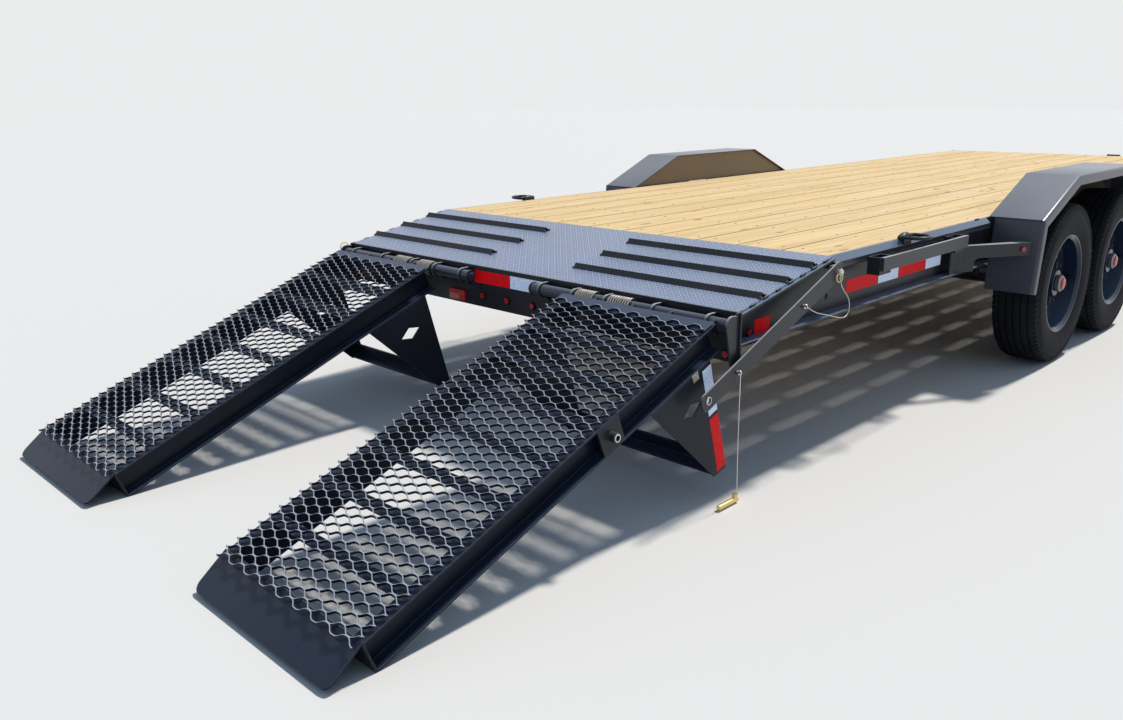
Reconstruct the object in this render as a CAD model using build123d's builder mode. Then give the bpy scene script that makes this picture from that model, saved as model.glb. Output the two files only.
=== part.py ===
from build123d import *
from math import asin, atan2, cos, degrees, hypot, pi, radians, sin, tan
import os

# Equipment trailer with fold-up mesh ramps. Millimetres, +X forward, +Y left, +Z up.
# The origin is on the ground, midway along the overall length, on the centre line.

os.makedirs("parts", exist_ok=True)
sides = (("left", 1), ("right", -1))

# Deck
deck_height = 728
board_length = 6096
board_thickness = 38
board_count = 11
deck_half_width = 1052
board_side_gap = 2
board_gap = 7.6
edge_strip = 28
edge_flat = 6
edge_fall = 22

# Main frame: an I-beam each side, and channels between the beams
beam_depth = 178
beam_flange = 102
beam_flange_thickness = 7
beam_web = 6
web_hole = 20
web_hole_x = 29
web_hole_rise = 51
cross_depth = 76
cross_flange = 36
cross_wall = 5
cross_pitch = 406
header_thickness = 8

# Sloping tail
dove_length = 560
dove_drop = 105
dove_plate = 6
dove_inset = 12
rear_wall = 7
rear_depth = 165
rear_flange = 45
cleat_leg = 25
cleat_wall = 3
cleat_inner_y = 237
cleat_end_gap = 3
cleat_first = 116
cleat_pitch = 155
cleat_rows = 3

# Ramps
hinge_setback = 40
hinge_drop = 143
hinge_pipe_radius = 21
hinge_pipe_bore = 17
hinge_past_ramp = 203
hinge_end_inset = 18
pipe_clearance = 0.1
ramp_length = 1458
ramp_depth = 103
ramp_top = 37
ramp_width = 657
ramp_inset = 35
ramp_swing = 109
ramp_wall = 6
ramp_flange = 42
ramp_start = 44
rung_height = 50
rung_width = 40
rung_wall = 5
rung_first = 230
rung_pitch = 176
tip_length = 132
tip_bend = 18
tip_plate = 6
tip_corner = 30
top_plate_length = 55
mesh_thickness = 6
mesh_long = 131.4
mesh_short = 62
mesh_strand = 9

# Wheels
tyre_radius = 383.5
tyre_width = 211
tread_in = 22
rim_radius = 235
rim_seat_radius = 222
rim_edge_in = 10
rim_flange_in = 16
rim_seat_in = 22
wheel_gap = 0.5
axle_spacing = 838
axle_centre = 2283
hub_radius = 72
spindle_radius = 24
spindle_clearance = 0.05
brake_radius = 165

# Fenders
fender_length = 1690
fender_flat = 866
fender_rise = 169
fender_reach = 215
fender_wall = 5
fender_lip = 45
fender_foot = 325
fender_lean = 42

# Fender arms
arm_wall = 6
arm_root_length = 100
arm_run = 330
arm_inset = 45
arm_low = 576
arm_high = 632
arm_lamp_inset = 42
arm_flange = 42
arm_seat = 12

# Front end
tongue_reach = 1400
tongue_depth = 127
tongue_flange = 45
tongue_wall = 7
ball_radius = 29.4

# Places worked out from the sizes above
beam_top = deck_height - board_thickness
beam_bottom = beam_top - beam_depth
side_y = deck_half_width + edge_strip
tail_half = side_y - dove_inset
ramp_outer_y = side_y - ramp_inset
ramp_inner_y = ramp_outer_y - ramp_width
hinge_outer_y = side_y - hinge_end_inset
hinge_inner_y = ramp_inner_y - hinge_past_ramp
wheel_y = side_y + tyre_width / 2 + wheel_gap
fender_outer_y = side_y + fender_reach
web_y = side_y - beam_flange / 2
dove_slope = atan2(dove_drop, dove_length)
hinge_z = deck_height - hinge_drop
ramp_foot = ramp_depth - ramp_top
ramp_pitch = asin(hinge_z / hypot(ramp_length, ramp_foot)) - atan2(ramp_foot, ramp_length)
tip_s = ramp_length + tip_length * cos(radians(tip_bend))
tip_n = ramp_top - tip_length * sin(radians(tip_bend))
tail_reach = dove_length + hinge_setback + tip_s * cos(ramp_pitch) + tip_n * sin(ramp_pitch)
overall_length = tail_reach + board_length + header_thickness + tongue_reach
deck_x = tail_reach - overall_length / 2
front_x = deck_x + board_length
dove_x = deck_x - dove_length
hinge_x = dove_x - hinge_setback
nose_x = front_x + header_thickness + tongue_reach
fender_x = deck_x + axle_centre
axle_places = (("rear", fender_x - axle_spacing / 2), ("front", fender_x + axle_spacing / 2))
ramp_plane = Plane(
    origin=(hinge_x, 0, hinge_z),
    x_dir=(-cos(ramp_pitch), 0, -sin(ramp_pitch)),
    z_dir=(0, 1, 0),
)


def plate_top(x):
    """Height of the sloping plate's upper face at the place x."""
    return deck_height - (deck_x - x) * dove_drop / dove_length


def save(piece, name):
    """Label a finished piece and write its own file."""
    piece.part.label = name
    export_step(piece.part, f"parts/{name}.step")


def block(x0, x1, y0, y1, z0, z1, mode=Mode.ADD):
    """A box between two corners, in the open part."""
    with Locations(((x0 + x1) / 2, (y0 + y1) / 2, (z0 + z1) / 2)):
        Box(x1 - x0, y1 - y0, z1 - z0, mode=mode)


def ramp_bar(s0, s1, n0, n1, y0, y1, mode=Mode.ADD):
    """A box along the ramp: s down the ramp from the hinge, n up from it, y across."""
    with BuildSketch(ramp_plane.offset(y0)) as section:
        with Locations(((s0 + s1) / 2, (n0 + n1) / 2)):
            Rectangle(s1 - s0, n1 - n0)
    extrude(section.sketch, amount=y1 - y0, mode=mode)


# Side beams: I-beams whose top is cut down under the sloping plate
flange_in = web_y - beam_flange / 2
well_x0 = fender_x - fender_length / 2 - fender_lean - 10
well_x1 = fender_x + fender_length / 2 + fender_lean + 10
dove_under = dove_plate / cos(dove_slope)
dove_flange = beam_flange_thickness / cos(dove_slope)
for side, sign in sides:
    with BuildPart() as side_beam:
        block(deck_x, front_x, web_y - beam_web / 2, web_y + beam_web / 2, beam_bottom, beam_top)
        block(deck_x, front_x, flange_in, side_y, beam_top - beam_flange_thickness, beam_top)
        block(dove_x, front_x, flange_in, side_y, beam_bottom, beam_bottom + beam_flange_thickness)
        with BuildSketch(Plane.XZ.offset(-web_y - beam_web / 2)):
            with BuildLine():
                Polyline(
                    (deck_x, beam_bottom),
                    (deck_x, deck_height - dove_under),
                    (dove_x, plate_top(dove_x) - dove_under),
                    (dove_x, beam_bottom),
                    close=True,
                )
            make_face()
        extrude(amount=beam_web)
        with BuildSketch(Plane.XZ.offset(-side_y)):
            with BuildLine():
                Polyline(
                    (deck_x, deck_height - dove_under),
                    (dove_x, plate_top(dove_x) - dove_under),
                    (dove_x, plate_top(dove_x) - dove_under - dove_flange),
                    (deck_x, deck_height - dove_under - dove_flange),
                    close=True,
                )
            make_face()
        extrude(amount=beam_flange)
        block(well_x0, well_x1, deck_half_width, side_y + 1, beam_bottom, beam_top, Mode.SUBTRACT)
        block(
            deck_x + web_hole_x, deck_x + web_hole_x + web_hole, web_y - beam_web, web_y + beam_web,
            beam_bottom + web_hole_rise, beam_bottom + web_hole_rise + web_hole, Mode.SUBTRACT,
        )
        if sign < 0:
            mirror(about=Plane.XZ, mode=Mode.REPLACE)
    save(side_beam, f"side_beam_{side}")

# Cross channels: coped at both ends to run under the beams' top flanges
web_in = web_y - beam_web / 2
cross_count = int((board_length - 200) // cross_pitch) + 1
cross_places = [deck_x + 60 + i * cross_pitch for i in range(cross_count)]
with BuildPart() as cross_channels:
    for x in cross_places:
        z0 = beam_top - cross_depth
        block(x, x + cross_wall, -web_in, web_in, z0, beam_top)
        block(x + cross_wall, x + cross_flange, -web_in, web_in, beam_top - cross_wall, beam_top)
        block(x + cross_wall, x + cross_flange, -web_in, web_in, z0, z0 + cross_wall)
        for y0, y1 in ((-web_in, -flange_in), (flange_in, web_in)):
            block(x, x + cross_flange, y0, y1, beam_top - beam_flange_thickness, beam_top, Mode.SUBTRACT)
save(cross_channels, "cross_channels")

# Boards, with a gap between each two
boards_half = deck_half_width - board_side_gap
board_width = (2 * boards_half - (board_count - 1) * board_gap) / board_count
with BuildPart() as deck_boards:
    for i in range(board_count):
        y0 = -boards_half + i * (board_width + board_gap)
        block(deck_x, front_x, y0, y0 + board_width, beam_top, deck_height)
save(deck_boards, "deck_boards")

# Edge strips: a bar along each side of the boards that falls away outward, standing on the beam
with BuildPart() as edge_strips:
    with BuildSketch(Plane.YZ.offset(deck_x)):
        with BuildLine():
            Polyline(
                (deck_half_width, beam_top), (deck_half_width, deck_height),
                (deck_half_width + edge_flat, deck_height), (side_y, deck_height - edge_fall),
                (side_y, beam_top), close=True,
            )
        make_face()
    extrude(amount=board_length)
    block(well_x0, well_x1, deck_half_width + edge_flat, side_y + 1, beam_top, deck_height, Mode.SUBTRACT)
    mirror(about=Plane.XZ)
save(edge_strips, "edge_strips")

# Sloping tread plate, set in from the beams' edges
with BuildPart() as tail_plate:
    with BuildSketch(Plane.XZ.offset(-tail_half)):
        with BuildLine():
            Polyline(
                (deck_x, deck_height),
                (dove_x, plate_top(dove_x)),
                (dove_x, plate_top(dove_x) - dove_under),
                (deck_x, deck_height - dove_under),
                close=True,
            )
        make_face()
    extrude(amount=2 * tail_half)
save(tail_plate, "tail_plate")

# Cleats: angles laid point up across the sloping plate, open at both ends
cleat_length = tail_half - cleat_end_gap - cleat_inner_y
cleat_half = cleat_leg / 2 ** 0.5
cleat_bore = cleat_half - cleat_wall * 2 ** 0.5
with BuildPart() as cleats:
    for i in range(cleat_rows):
        along = (cleat_first + i * cleat_pitch) / cos(dove_slope)
        seat = Plane(
            origin=(deck_x - along * cos(dove_slope), cleat_inner_y, deck_height - along * sin(dove_slope)),
            x_dir=(-cos(dove_slope), 0, -sin(dove_slope)),
            z_dir=(0, 1, 0),
        )
        with BuildSketch(seat):
            with BuildLine():
                Polyline(
                    (-cleat_half, 0), (0, cleat_half), (cleat_half, 0),
                    (cleat_bore, 0), (0, cleat_bore), (-cleat_bore, 0), close=True,
                )
            make_face()
        extrude(amount=cleat_length)
    mirror(about=Plane.XZ)
save(cleats, "cleats")

# Rear channel: its web faces back below the plate's edge
rear_top = plate_top(dove_x) - dove_under
rear_bottom = plate_top(dove_x) - rear_depth
lamp_row_z = 505
lamp_row_pitch = 143
tail_lamp_y = 300
tail_lamp_z = 490
marker_radius = 11
marker_depth = 9
marker_y = side_y - 49
marker_z = 483
side_marker_x = deck_x - 452
with BuildPart() as rear_channel:
    block(dove_x - rear_wall, dove_x, -side_y, side_y, rear_bottom, plate_top(dove_x))
    block(dove_x, dove_x + rear_flange, -flange_in, flange_in, rear_top - rear_wall, rear_top)
    block(dove_x, dove_x + rear_flange, -flange_in, flange_in, rear_bottom, rear_bottom + rear_wall)
save(rear_channel, "rear_channel")

# Lamps: round markers on the rear channel, the beams and the rear fender arms, two oblong tail lamps
arm_root_x = fender_x - fender_length / 2 - arm_run
arm_end_x = fender_x - fender_length / 2 - fender_lean * (deck_height - arm_low) / fender_foot
arm_end_y = fender_outer_y - arm_inset
arm_seat_y = side_y - arm_seat
arm_turn = atan2(arm_end_y - arm_seat_y, arm_end_x - arm_root_x)
arm_lamp_run = hypot(arm_end_x - arm_root_x, arm_end_y - arm_seat_y) - arm_lamp_inset
arm_lamp = (
    arm_root_x + arm_lamp_run * cos(arm_turn) - arm_wall * sin(arm_turn),
    arm_seat_y + arm_lamp_run * sin(arm_turn) + arm_wall * cos(arm_turn),
)
arm_lamp_z = (arm_low + arm_high) / 2
with BuildPart() as tail_lamps:
    for y, z in (
        (-lamp_row_pitch, lamp_row_z), (0, lamp_row_z), (lamp_row_pitch, lamp_row_z),
        (-marker_y, marker_z), (marker_y, marker_z),
    ):
        with BuildSketch(Plane.YZ.offset(dove_x - rear_wall)):
            with Locations((y, z)):
                Circle(marker_radius)
        extrude(amount=-marker_depth)
    for y in (-tail_lamp_y, tail_lamp_y):
        with BuildSketch(Plane.YZ.offset(dove_x - rear_wall)):
            with Locations((y, tail_lamp_z)):
                RectangleRounded(100, 42, 8)
        extrude(amount=-10)
    for sign in (-1, 1):
        with BuildSketch(Plane.XZ.offset(-sign * (web_y + beam_web / 2))):
            with Locations((side_marker_x, beam_bottom + beam_flange_thickness + marker_radius + 2)):
                Circle(marker_radius)
        extrude(amount=-sign * marker_depth)
        with BuildSketch(Plane(
            origin=(arm_lamp[0], sign * arm_lamp[1], arm_lamp_z),
            x_dir=(cos(arm_turn), sign * sin(arm_turn), 0), z_dir=(-sin(arm_turn), sign * cos(arm_turn), 0),
        )):
            Circle(marker_radius)
        extrude(amount=marker_depth)
save(tail_lamps, "tail_lamps")

# Hinge lugs: straps bent round the pipe and welded to the rear channel
lug_bore = hinge_pipe_radius + pipe_clearance
lug_radius = lug_bore + 6
lug_width = 10
lug_places = [ramp_inner_y + y for y in (-158, 10, 164, 377, 597)]
lug_plane_x = dove_x - rear_wall
for side, sign in sides:
    with BuildPart() as hinge_lugs:
        for y in lug_places:
            with BuildSketch(Plane.XZ.offset(-y - lug_width / 2)):
                with Locations((hinge_x, hinge_z)):
                    Circle(lug_radius)
                with BuildLine():
                    Polyline(
                        (hinge_x, hinge_z + lug_radius), (lug_plane_x, hinge_z + lug_radius),
                        (lug_plane_x, hinge_z - lug_radius - 24), (hinge_x + 8, hinge_z - lug_radius + 3),
                        (hinge_x, hinge_z), close=True,
                    )
                make_face()
                with Locations((hinge_x, hinge_z)):
                    Circle(lug_bore, mode=Mode.SUBTRACT)
            extrude(amount=lug_width)
        if sign < 0:
            mirror(about=Plane.XZ, mode=Mode.REPLACE)
    save(hinge_lugs, f"hinge_lugs_{side}")

# Hinge ears: teardrop plates that close the pipe's outer end
ear_gap = 3
ear_wall = 8
ear_radius = 32
ear_y = hinge_outer_y + ear_gap
with BuildPart() as hinge_ears:
    with BuildSketch(Plane.XZ.offset(-ear_y - ear_wall)):
        with Locations((hinge_x, hinge_z)):
            Circle(ear_radius)
        with BuildLine():
            Polyline(
                (hinge_x - ear_radius, hinge_z), (hinge_x + 2, rear_bottom - 5), (lug_plane_x, rear_bottom - 5),
                (lug_plane_x, hinge_z + 30), (hinge_x, hinge_z + 30), close=True,
            )
        make_face()
    extrude(amount=ear_wall)
    mirror(about=Plane.XZ)
save(hinge_ears, "hinge_ears")

# Torsion springs: two coils round each pipe, between the lugs
spring_wire = 9
spring_turns = 9
spring_places = [ramp_inner_y + y for y in (27, 181)]
spring_gap = 2
coil_in = hinge_pipe_radius + spring_gap
coil_out = coil_in + spring_wire
coil_mid = coil_in + spring_wire / 2
with BuildPart() as torsion_springs:
    for y in spring_places:
        crests = []
        for i in range(spring_turns):
            crests += [((i + 0.25) * spring_wire, coil_out), ((i + 0.75) * spring_wire, coil_out)]
            crests += [((i + 1) * spring_wire, coil_mid)]
        with BuildSketch(Plane(origin=(hinge_x, y, hinge_z), x_dir=(0, 1, 0), z_dir=(1, 0, 0))):
            with BuildLine():
                Polyline((0, coil_in), (0, coil_mid), *crests, (spring_turns * spring_wire, coil_in), close=True)
            make_face()
        revolve(axis=Axis((hinge_x, 0, hinge_z), (0, 1, 0)))
        block(hinge_x, lug_plane_x, y + 1, y + spring_wire - 1, hinge_z - coil_out + 2, hinge_z - coil_mid + 2)
    mirror(about=Plane.XZ)
save(torsion_springs, "torsion_springs")

# Ramps, one body each side
rung_count = int((ramp_length - rung_first - rung_width) // rung_pitch) + 1
leg_points = ((104, 0), (141, -398), (205, -392), (405, 0))
leg_window = (233, -105)
leg_window_half = (50, 25)
leg_plate = 6
foot_width = 55
arm_places = [ramp_inner_y + y for y in (135, 302, 462, 632)]
arm_width = 12
lock_s = 575
lock_n = -20
lock_plate = 8
lock_socket = 22
lock_bore = 8.5
mesh_n0 = ramp_top - mesh_thickness
for side, sign in sides:
    y_in = ramp_inner_y
    y_out = ramp_outer_y
    n_low = ramp_top - ramp_depth
    n_high = ramp_top - mesh_thickness
    with BuildPart() as ramp_frame:
        # Side channels open outward: web inside, two flanges; columns are n0, n1, y0, y1
        for y0, y1, web0 in ((y_in, y_in + ramp_flange, y_in + ramp_flange - ramp_wall),
                             (y_out - ramp_flange, y_out, y_out - ramp_flange)):
            ramp_bar(ramp_start, ramp_length, n_low, n_high, web0, web0 + ramp_wall)
            ramp_bar(ramp_start, ramp_length, n_low, n_low + ramp_wall, y0, y1)
            ramp_bar(ramp_start, ramp_length, n_high - ramp_wall, n_high, y0, y1)
        for i in range(rung_count):
            s = rung_first + i * rung_pitch
            ramp_bar(s, s + rung_wall, n_high - rung_height, n_high, y_in + ramp_flange, y_out - ramp_flange)
            ramp_bar(s, s + rung_width, n_high - rung_wall, n_high, y_in + ramp_flange, y_out - ramp_flange)
        ramp_bar(ramp_start, ramp_start + top_plate_length, n_high - 6, n_high, y_in, y_out)
        for y in arm_places:
            ramp_bar(15, ramp_start + 20, -6, n_high - 6, y - arm_width / 2, y + arm_width / 2)
            with BuildSketch(ramp_plane.offset(y - arm_width / 2)) as bore:
                Circle(hinge_pipe_radius)
            extrude(bore.sketch, amount=arm_width, mode=Mode.SUBTRACT)
        if sign < 0:
            mirror(about=Plane.XZ, mode=Mode.REPLACE)
    save(ramp_frame, f"ramp_frame_{side}")

    with BuildPart() as hinge_pipe:
        with BuildSketch(Plane.XZ.offset(-hinge_inner_y)):
            with Locations((hinge_x, hinge_z)):
                Circle(hinge_pipe_radius)
                Circle(hinge_pipe_bore, mode=Mode.SUBTRACT)
        extrude(amount=-(hinge_outer_y - hinge_inner_y))
        with BuildSketch(Plane.XZ.offset(-hinge_inner_y)):
            with Locations((hinge_x, hinge_z)):
                Circle(hinge_pipe_radius + 3)
        extrude(amount=6)
        with BuildSketch(Plane.XZ.offset(-hinge_inner_y + 6)):
            with Locations((hinge_x, hinge_z)):
                RegularPolygon(14, 6)
        extrude(amount=12)
        if sign < 0:
            mirror(about=Plane.XZ, mode=Mode.REPLACE)
    save(hinge_pipe, f"hinge_pipe_{side}")

    # Tip plate: bent down past the channels' ends, with round corners and a weld flange
    tip_plane = Plane(
        origin=ramp_plane.origin + ramp_plane.x_dir * ramp_length + ramp_plane.y_dir * ramp_top,
        x_dir=ramp_plane.x_dir.rotate(Axis.Y, -tip_bend),
        z_dir=ramp_plane.y_dir.rotate(Axis.Y, -tip_bend),
    )
    with BuildPart() as ramp_tip:
        with BuildSketch(tip_plane.offset(-tip_plate)):
            with Locations((tip_length / 2, -(y_in + y_out) / 2)):
                Rectangle(tip_length, y_out - y_in)
        extrude(amount=tip_plate)
        fillet(ramp_tip.edges().filter_by(Axis(tip_plane.origin, tip_plane.z_dir)).group_by(Axis.X)[0], tip_corner)
        ramp_bar(ramp_length - 30, ramp_length, ramp_top - 30, ramp_top + 30, y_in - 1, y_out + 1, Mode.SUBTRACT)
        ramp_bar(ramp_length, ramp_length + tip_plate, n_low, ramp_top - 2, y_in, y_out)
        if sign < 0:
            mirror(about=Plane.XZ, mode=Mode.REPLACE)
    save(ramp_tip, f"ramp_tip_{side}")

    # Legs: a pierced plate under each side channel, and a foot bar across
    with BuildPart() as ramp_legs:
        for y in (y_in, y_out - leg_plate):
            with BuildSketch(ramp_plane.offset(y)):
                with BuildLine():
                    Polyline(*[(s, n_low + n) for s, n in leg_points], close=True)
                make_face()
                with Locations((leg_window[0], n_low + leg_window[1])):
                    Polygon(
                        (-leg_window_half[0], 0), (0, -leg_window_half[1]), (leg_window_half[0], 0),
                        (0, leg_window_half[1]), align=None, mode=Mode.SUBTRACT,
                    )
            extrude(amount=leg_plate)
        ramp_bar(150, 200, n_low - 392, n_low - 386, y_in + leg_plate, y_out - leg_plate)
        ramp_bar(150, 156, n_low - 386, n_low - 340, y_in + leg_plate, y_out - leg_plate)
        if sign < 0:
            mirror(about=Plane.XZ, mode=Mode.REPLACE)
    save(ramp_legs, f"ramp_legs_{side}")

    # Mesh: a sheet with staggered rows of diamonds
    mesh_s0 = ramp_start + top_plate_length
    across = ramp_outer_y - ramp_inner_y
    rows = int((ramp_length - mesh_s0 - mesh_short / 2) // mesh_short)
    columns = int(round(across / mesh_long))
    hole = (mesh_short - 2 * mesh_strand, mesh_long - 3.2 * mesh_strand)
    mesh_plane = Plane(origin=ramp_plane.origin, x_dir=ramp_plane.x_dir, z_dir=ramp_plane.y_dir)
    mesh_mid = ((mesh_s0 + ramp_length) / 2, -sign * (y_in + y_out) / 2)
    with BuildPart() as ramp_mesh:
        with BuildSketch(mesh_plane.offset(mesh_n0)):
            with Locations(mesh_mid):
                Rectangle(ramp_length - mesh_s0, across)
            for shift, n_rows, n_columns in ((0, rows, columns), (mesh_short / 2, rows - 1, columns - 1)):
                with Locations(mesh_mid):
                    with GridLocations(mesh_short, mesh_long, n_rows, n_columns):
                        Polygon(
                            (-hole[0] / 2, 0), (0, -hole[1] / 2), (hole[0] / 2, 0), (0, hole[1] / 2),
                            align=None, mode=Mode.SUBTRACT,
                        )
        extrude(amount=mesh_thickness)
    save(ramp_mesh, f"ramp_mesh_{side}")

    # Socket for the lock bar, on a flush plate across the channel
    with BuildPart() as lock_plate_part:
        ramp_bar(lock_s - 45, lock_s + 45, n_low + ramp_wall, n_high - ramp_wall, y_out - lock_plate, y_out)
        with BuildSketch(ramp_plane.offset(y_out)) as socket:
            with Locations((lock_s, lock_n)):
                Circle(15)
        extrude(socket.sketch, amount=lock_socket)
        with BuildSketch(ramp_plane.offset(y_out - lock_plate)) as bore:
            with Locations((lock_s, lock_n)):
                Circle(lock_bore)
        extrude(bore.sketch, amount=lock_plate + lock_socket, mode=Mode.SUBTRACT)
        if sign < 0:
            mirror(about=Plane.XZ, mode=Mode.REPLACE)
    save(lock_plate_part, f"lock_socket_{side}")

# Lock bars: from a pin on the side beam down beside the ramp; raised, the hole meets the socket
bar_pin_x = deck_x - 8
bar_pin_z = beam_top - 12
bar_rest = radians(21.8)
bar_y = ramp_outer_y + lock_socket + 24
bar_thickness = 6
bar_width = 60
bar_pin_radius = 9
eyelet_places = (234, 637)
eyelet_radius = 7
eyelet_depth = 5
socket_turn = pi + ramp_pitch + atan2(-lock_n, lock_s) - radians(ramp_swing)
socket_reach = hypot(lock_s, lock_n)
socket_x = hinge_x + socket_reach * cos(socket_turn)
socket_z = hinge_z + socket_reach * sin(socket_turn)
bar_length = hypot(socket_x - bar_pin_x, socket_z - bar_pin_z)
bar_swing = pi + bar_rest - atan2(socket_z - bar_pin_z, socket_x - bar_pin_x)
bar_plane = Plane(
    origin=(bar_pin_x, 0, bar_pin_z), x_dir=(-cos(bar_rest), 0, -sin(bar_rest)), z_dir=(0, 1, 0)
)
for side, sign in sides:
    with BuildPart() as lock_bar:
        with BuildSketch(bar_plane.offset(bar_y)):
            with Locations((bar_length / 2, 0)):
                RectangleRounded(bar_length + 66, bar_width, 20)
            Circle(bar_pin_radius + pipe_clearance, mode=Mode.SUBTRACT)
            with Locations((bar_length, 0)):
                Circle(lock_bore + 1.5, mode=Mode.SUBTRACT)
        extrude(amount=bar_thickness)
        if sign < 0:
            with BuildSketch(bar_plane.offset(bar_y + bar_thickness)):
                for along in eyelet_places:
                    with Locations((along, 0)):
                        Circle(eyelet_radius)
            extrude(amount=eyelet_depth)
            mirror(about=Plane.XZ, mode=Mode.REPLACE)
    save(lock_bar, f"lock_bar_{side}")

# Pivots of the lock bars: a block on the beam's edge, a pin and its head
with BuildPart() as lock_pivots:
    block(bar_pin_x - 30, deck_x + 30, side_y, bar_y - 0.5, bar_pin_z - 30, bar_pin_z + 24)
    with BuildSketch(Plane.XZ.offset(-bar_y + 0.5)):
        with Locations((bar_pin_x, bar_pin_z)):
            Circle(bar_pin_radius)
    extrude(amount=-(bar_thickness + 12))
    mirror(about=Plane.XZ)
save(lock_pivots, "lock_pivots")

# Rub rails, each between two stake pockets
rub_places = (deck_x + 240, deck_x + 905)
pocket_length = 90
pocket_depth = 50
pocket_height = 65
pocket_wall = 6
rub_top = deck_height - 30
rub_height = 50
rub_wall = 10
with BuildPart() as stake_pockets:
    for x in rub_places:
        block(x, x + pocket_length, side_y, side_y + pocket_depth, rub_top - pocket_height, rub_top)
        block(
            x + pocket_wall, x + pocket_length - pocket_wall, side_y + pocket_wall,
            side_y + pocket_depth - pocket_wall, rub_top - pocket_height, rub_top, Mode.SUBTRACT,
        )
    mirror(about=Plane.XZ)
save(stake_pockets, "stake_pockets")
with BuildPart() as rub_rails:
    block(
        rub_places[0] + 10, rub_places[1] + pocket_length + 10, side_y + pocket_depth,
        side_y + pocket_depth + rub_wall, rub_top - rub_height, rub_top,
    )
    mirror(about=Plane.XZ)
save(rub_rails, "rub_rails")

# Lashing rings: each in a lug on the edge strip, laid outward over the gap to the rub rail
ring_x = deck_x + 560
ring_long = 116
ring_reach = 100
ring_wire = 15
ring_lift = 3
lug_long = 64
lug_high = 24
ring_y = side_y - ring_wire
with BuildPart() as lashing_rings:
    with BuildSketch(Plane.XY.offset(deck_height + ring_lift)):
        for inset, mode in ((0, Mode.ADD), (ring_wire, Mode.SUBTRACT)):
            with BuildLine():
                Polyline(
                    (ring_x - ring_long / 2 + inset, ring_y + ring_reach - ring_long / 2),
                    (ring_x - ring_long / 2 + inset, ring_y + inset),
                    (ring_x + ring_long / 2 - inset, ring_y + inset),
                    (ring_x + ring_long / 2 - inset, ring_y + ring_reach - ring_long / 2),
                )
                ThreePointArc(
                    (ring_x + ring_long / 2 - inset, ring_y + ring_reach - ring_long / 2),
                    (ring_x, ring_y + ring_reach - inset),
                    (ring_x - ring_long / 2 + inset, ring_y + ring_reach - ring_long / 2),
                )
            make_face(mode=mode)
    extrude(amount=ring_wire)
    with BuildSketch(Plane.YZ.offset(ring_x - lug_long / 2)):
        with BuildLine():
            Polyline(
                (deck_half_width, deck_height), (deck_half_width + edge_flat, deck_height),
                (side_y, deck_height - edge_fall), (side_y + 2, deck_height + lug_high / 2),
                (side_y - 6, deck_height + lug_high), (deck_half_width + 6, deck_height + lug_high),
                (deck_half_width, deck_height + lug_high / 2), close=True,
            )
        make_face()
    extrude(amount=lug_long)
    mirror(about=Plane.XZ)
save(lashing_rings, "lashing_rings")

# Fenders: a bent skin with a lip, and a side wall that stands on the deck's edge
half_long = fender_length / 2
half_flat = fender_flat / 2
fender_top = deck_height + fender_rise
foot_z = deck_height - fender_foot
fender_line = (
    (fender_x - half_long - fender_lean, foot_z),
    (fender_x - half_long, deck_height),
    (fender_x - half_flat, fender_top),
    (fender_x + half_flat, fender_top),
    (fender_x + half_long, deck_height),
    (fender_x + half_long + fender_lean, foot_z),
)
fender_skin_y = deck_half_width + fender_wall
for side, sign in sides:
    with BuildPart() as fender:
        with BuildSketch(Plane.XZ.offset(-fender_outer_y)):
            with BuildLine():
                outline = Polyline(*fender_line)
                offset(outline, amount=-fender_wall, side=Side.RIGHT)
            make_face()
        extrude(amount=fender_outer_y - deck_half_width)
        with BuildSketch(Plane.XZ.offset(-fender_outer_y)):
            with BuildLine():
                outline = Polyline(*fender_line)
                offset(outline, amount=-fender_lip, side=Side.RIGHT)
            make_face()
        extrude(amount=fender_wall)
        with BuildSketch(Plane.XZ.offset(-fender_skin_y)):
            with BuildLine():
                Polyline(*fender_line[1:5], close=True)
            make_face()
        extrude(amount=fender_wall)
        block(well_x0 - 50, well_x1 + 50, deck_half_width - 1, side_y, foot_z - 1, deck_height, Mode.SUBTRACT)
        if sign < 0:
            mirror(about=Plane.XZ, mode=Mode.REPLACE)
    save(fender, f"fender_{side}")

# Fender arms: bent plates, flat on the beams and then out to the fenders' feet, with a flange on top
arm_corner = 24
with BuildPart() as fender_arms:
    for way in (-1, 1):
        root_x = fender_x + way * (fender_x - arm_root_x)
        end_x = fender_x + way * (fender_x - arm_end_x)
        with BuildSketch(Plane.XY.offset(beam_bottom + beam_flange_thickness)):
            with BuildLine():
                Polyline(
                    (root_x + way * arm_root_length, arm_seat_y), (root_x, arm_seat_y), (end_x, arm_end_y),
                    (end_x, arm_end_y + arm_wall / cos(arm_turn)), (root_x, arm_seat_y + arm_wall),
                    (root_x + way * arm_root_length, arm_seat_y + arm_wall), close=True,
                )
            make_face()
        extrude(amount=arm_high - beam_bottom - beam_flange_thickness)
        with BuildSketch(Plane.XZ.offset(-side_y + 50)) as cut:
            with BuildLine():
                Polyline(
                    (root_x - way * 60, beam_bottom), (root_x - way * 60, arm_low), (end_x, arm_low),
                    (end_x, beam_bottom), close=True,
                )
            make_face()
            fillet(cut.vertices().sort_by_distance((root_x - way * 60, arm_low))[0], arm_corner)
        extrude(amount=-400, mode=Mode.SUBTRACT)
        with BuildSketch(Plane.XY.offset(arm_high - arm_wall)):
            with BuildLine():
                Polyline((root_x, arm_seat_y), (end_x, arm_end_y), (end_x, arm_end_y - arm_flange),
                         (root_x - way * arm_flange, arm_seat_y), close=True)
            make_face()
        extrude(amount=arm_wall)
    mirror(about=Plane.XZ)
save(fender_arms, "fender_arms")

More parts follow.
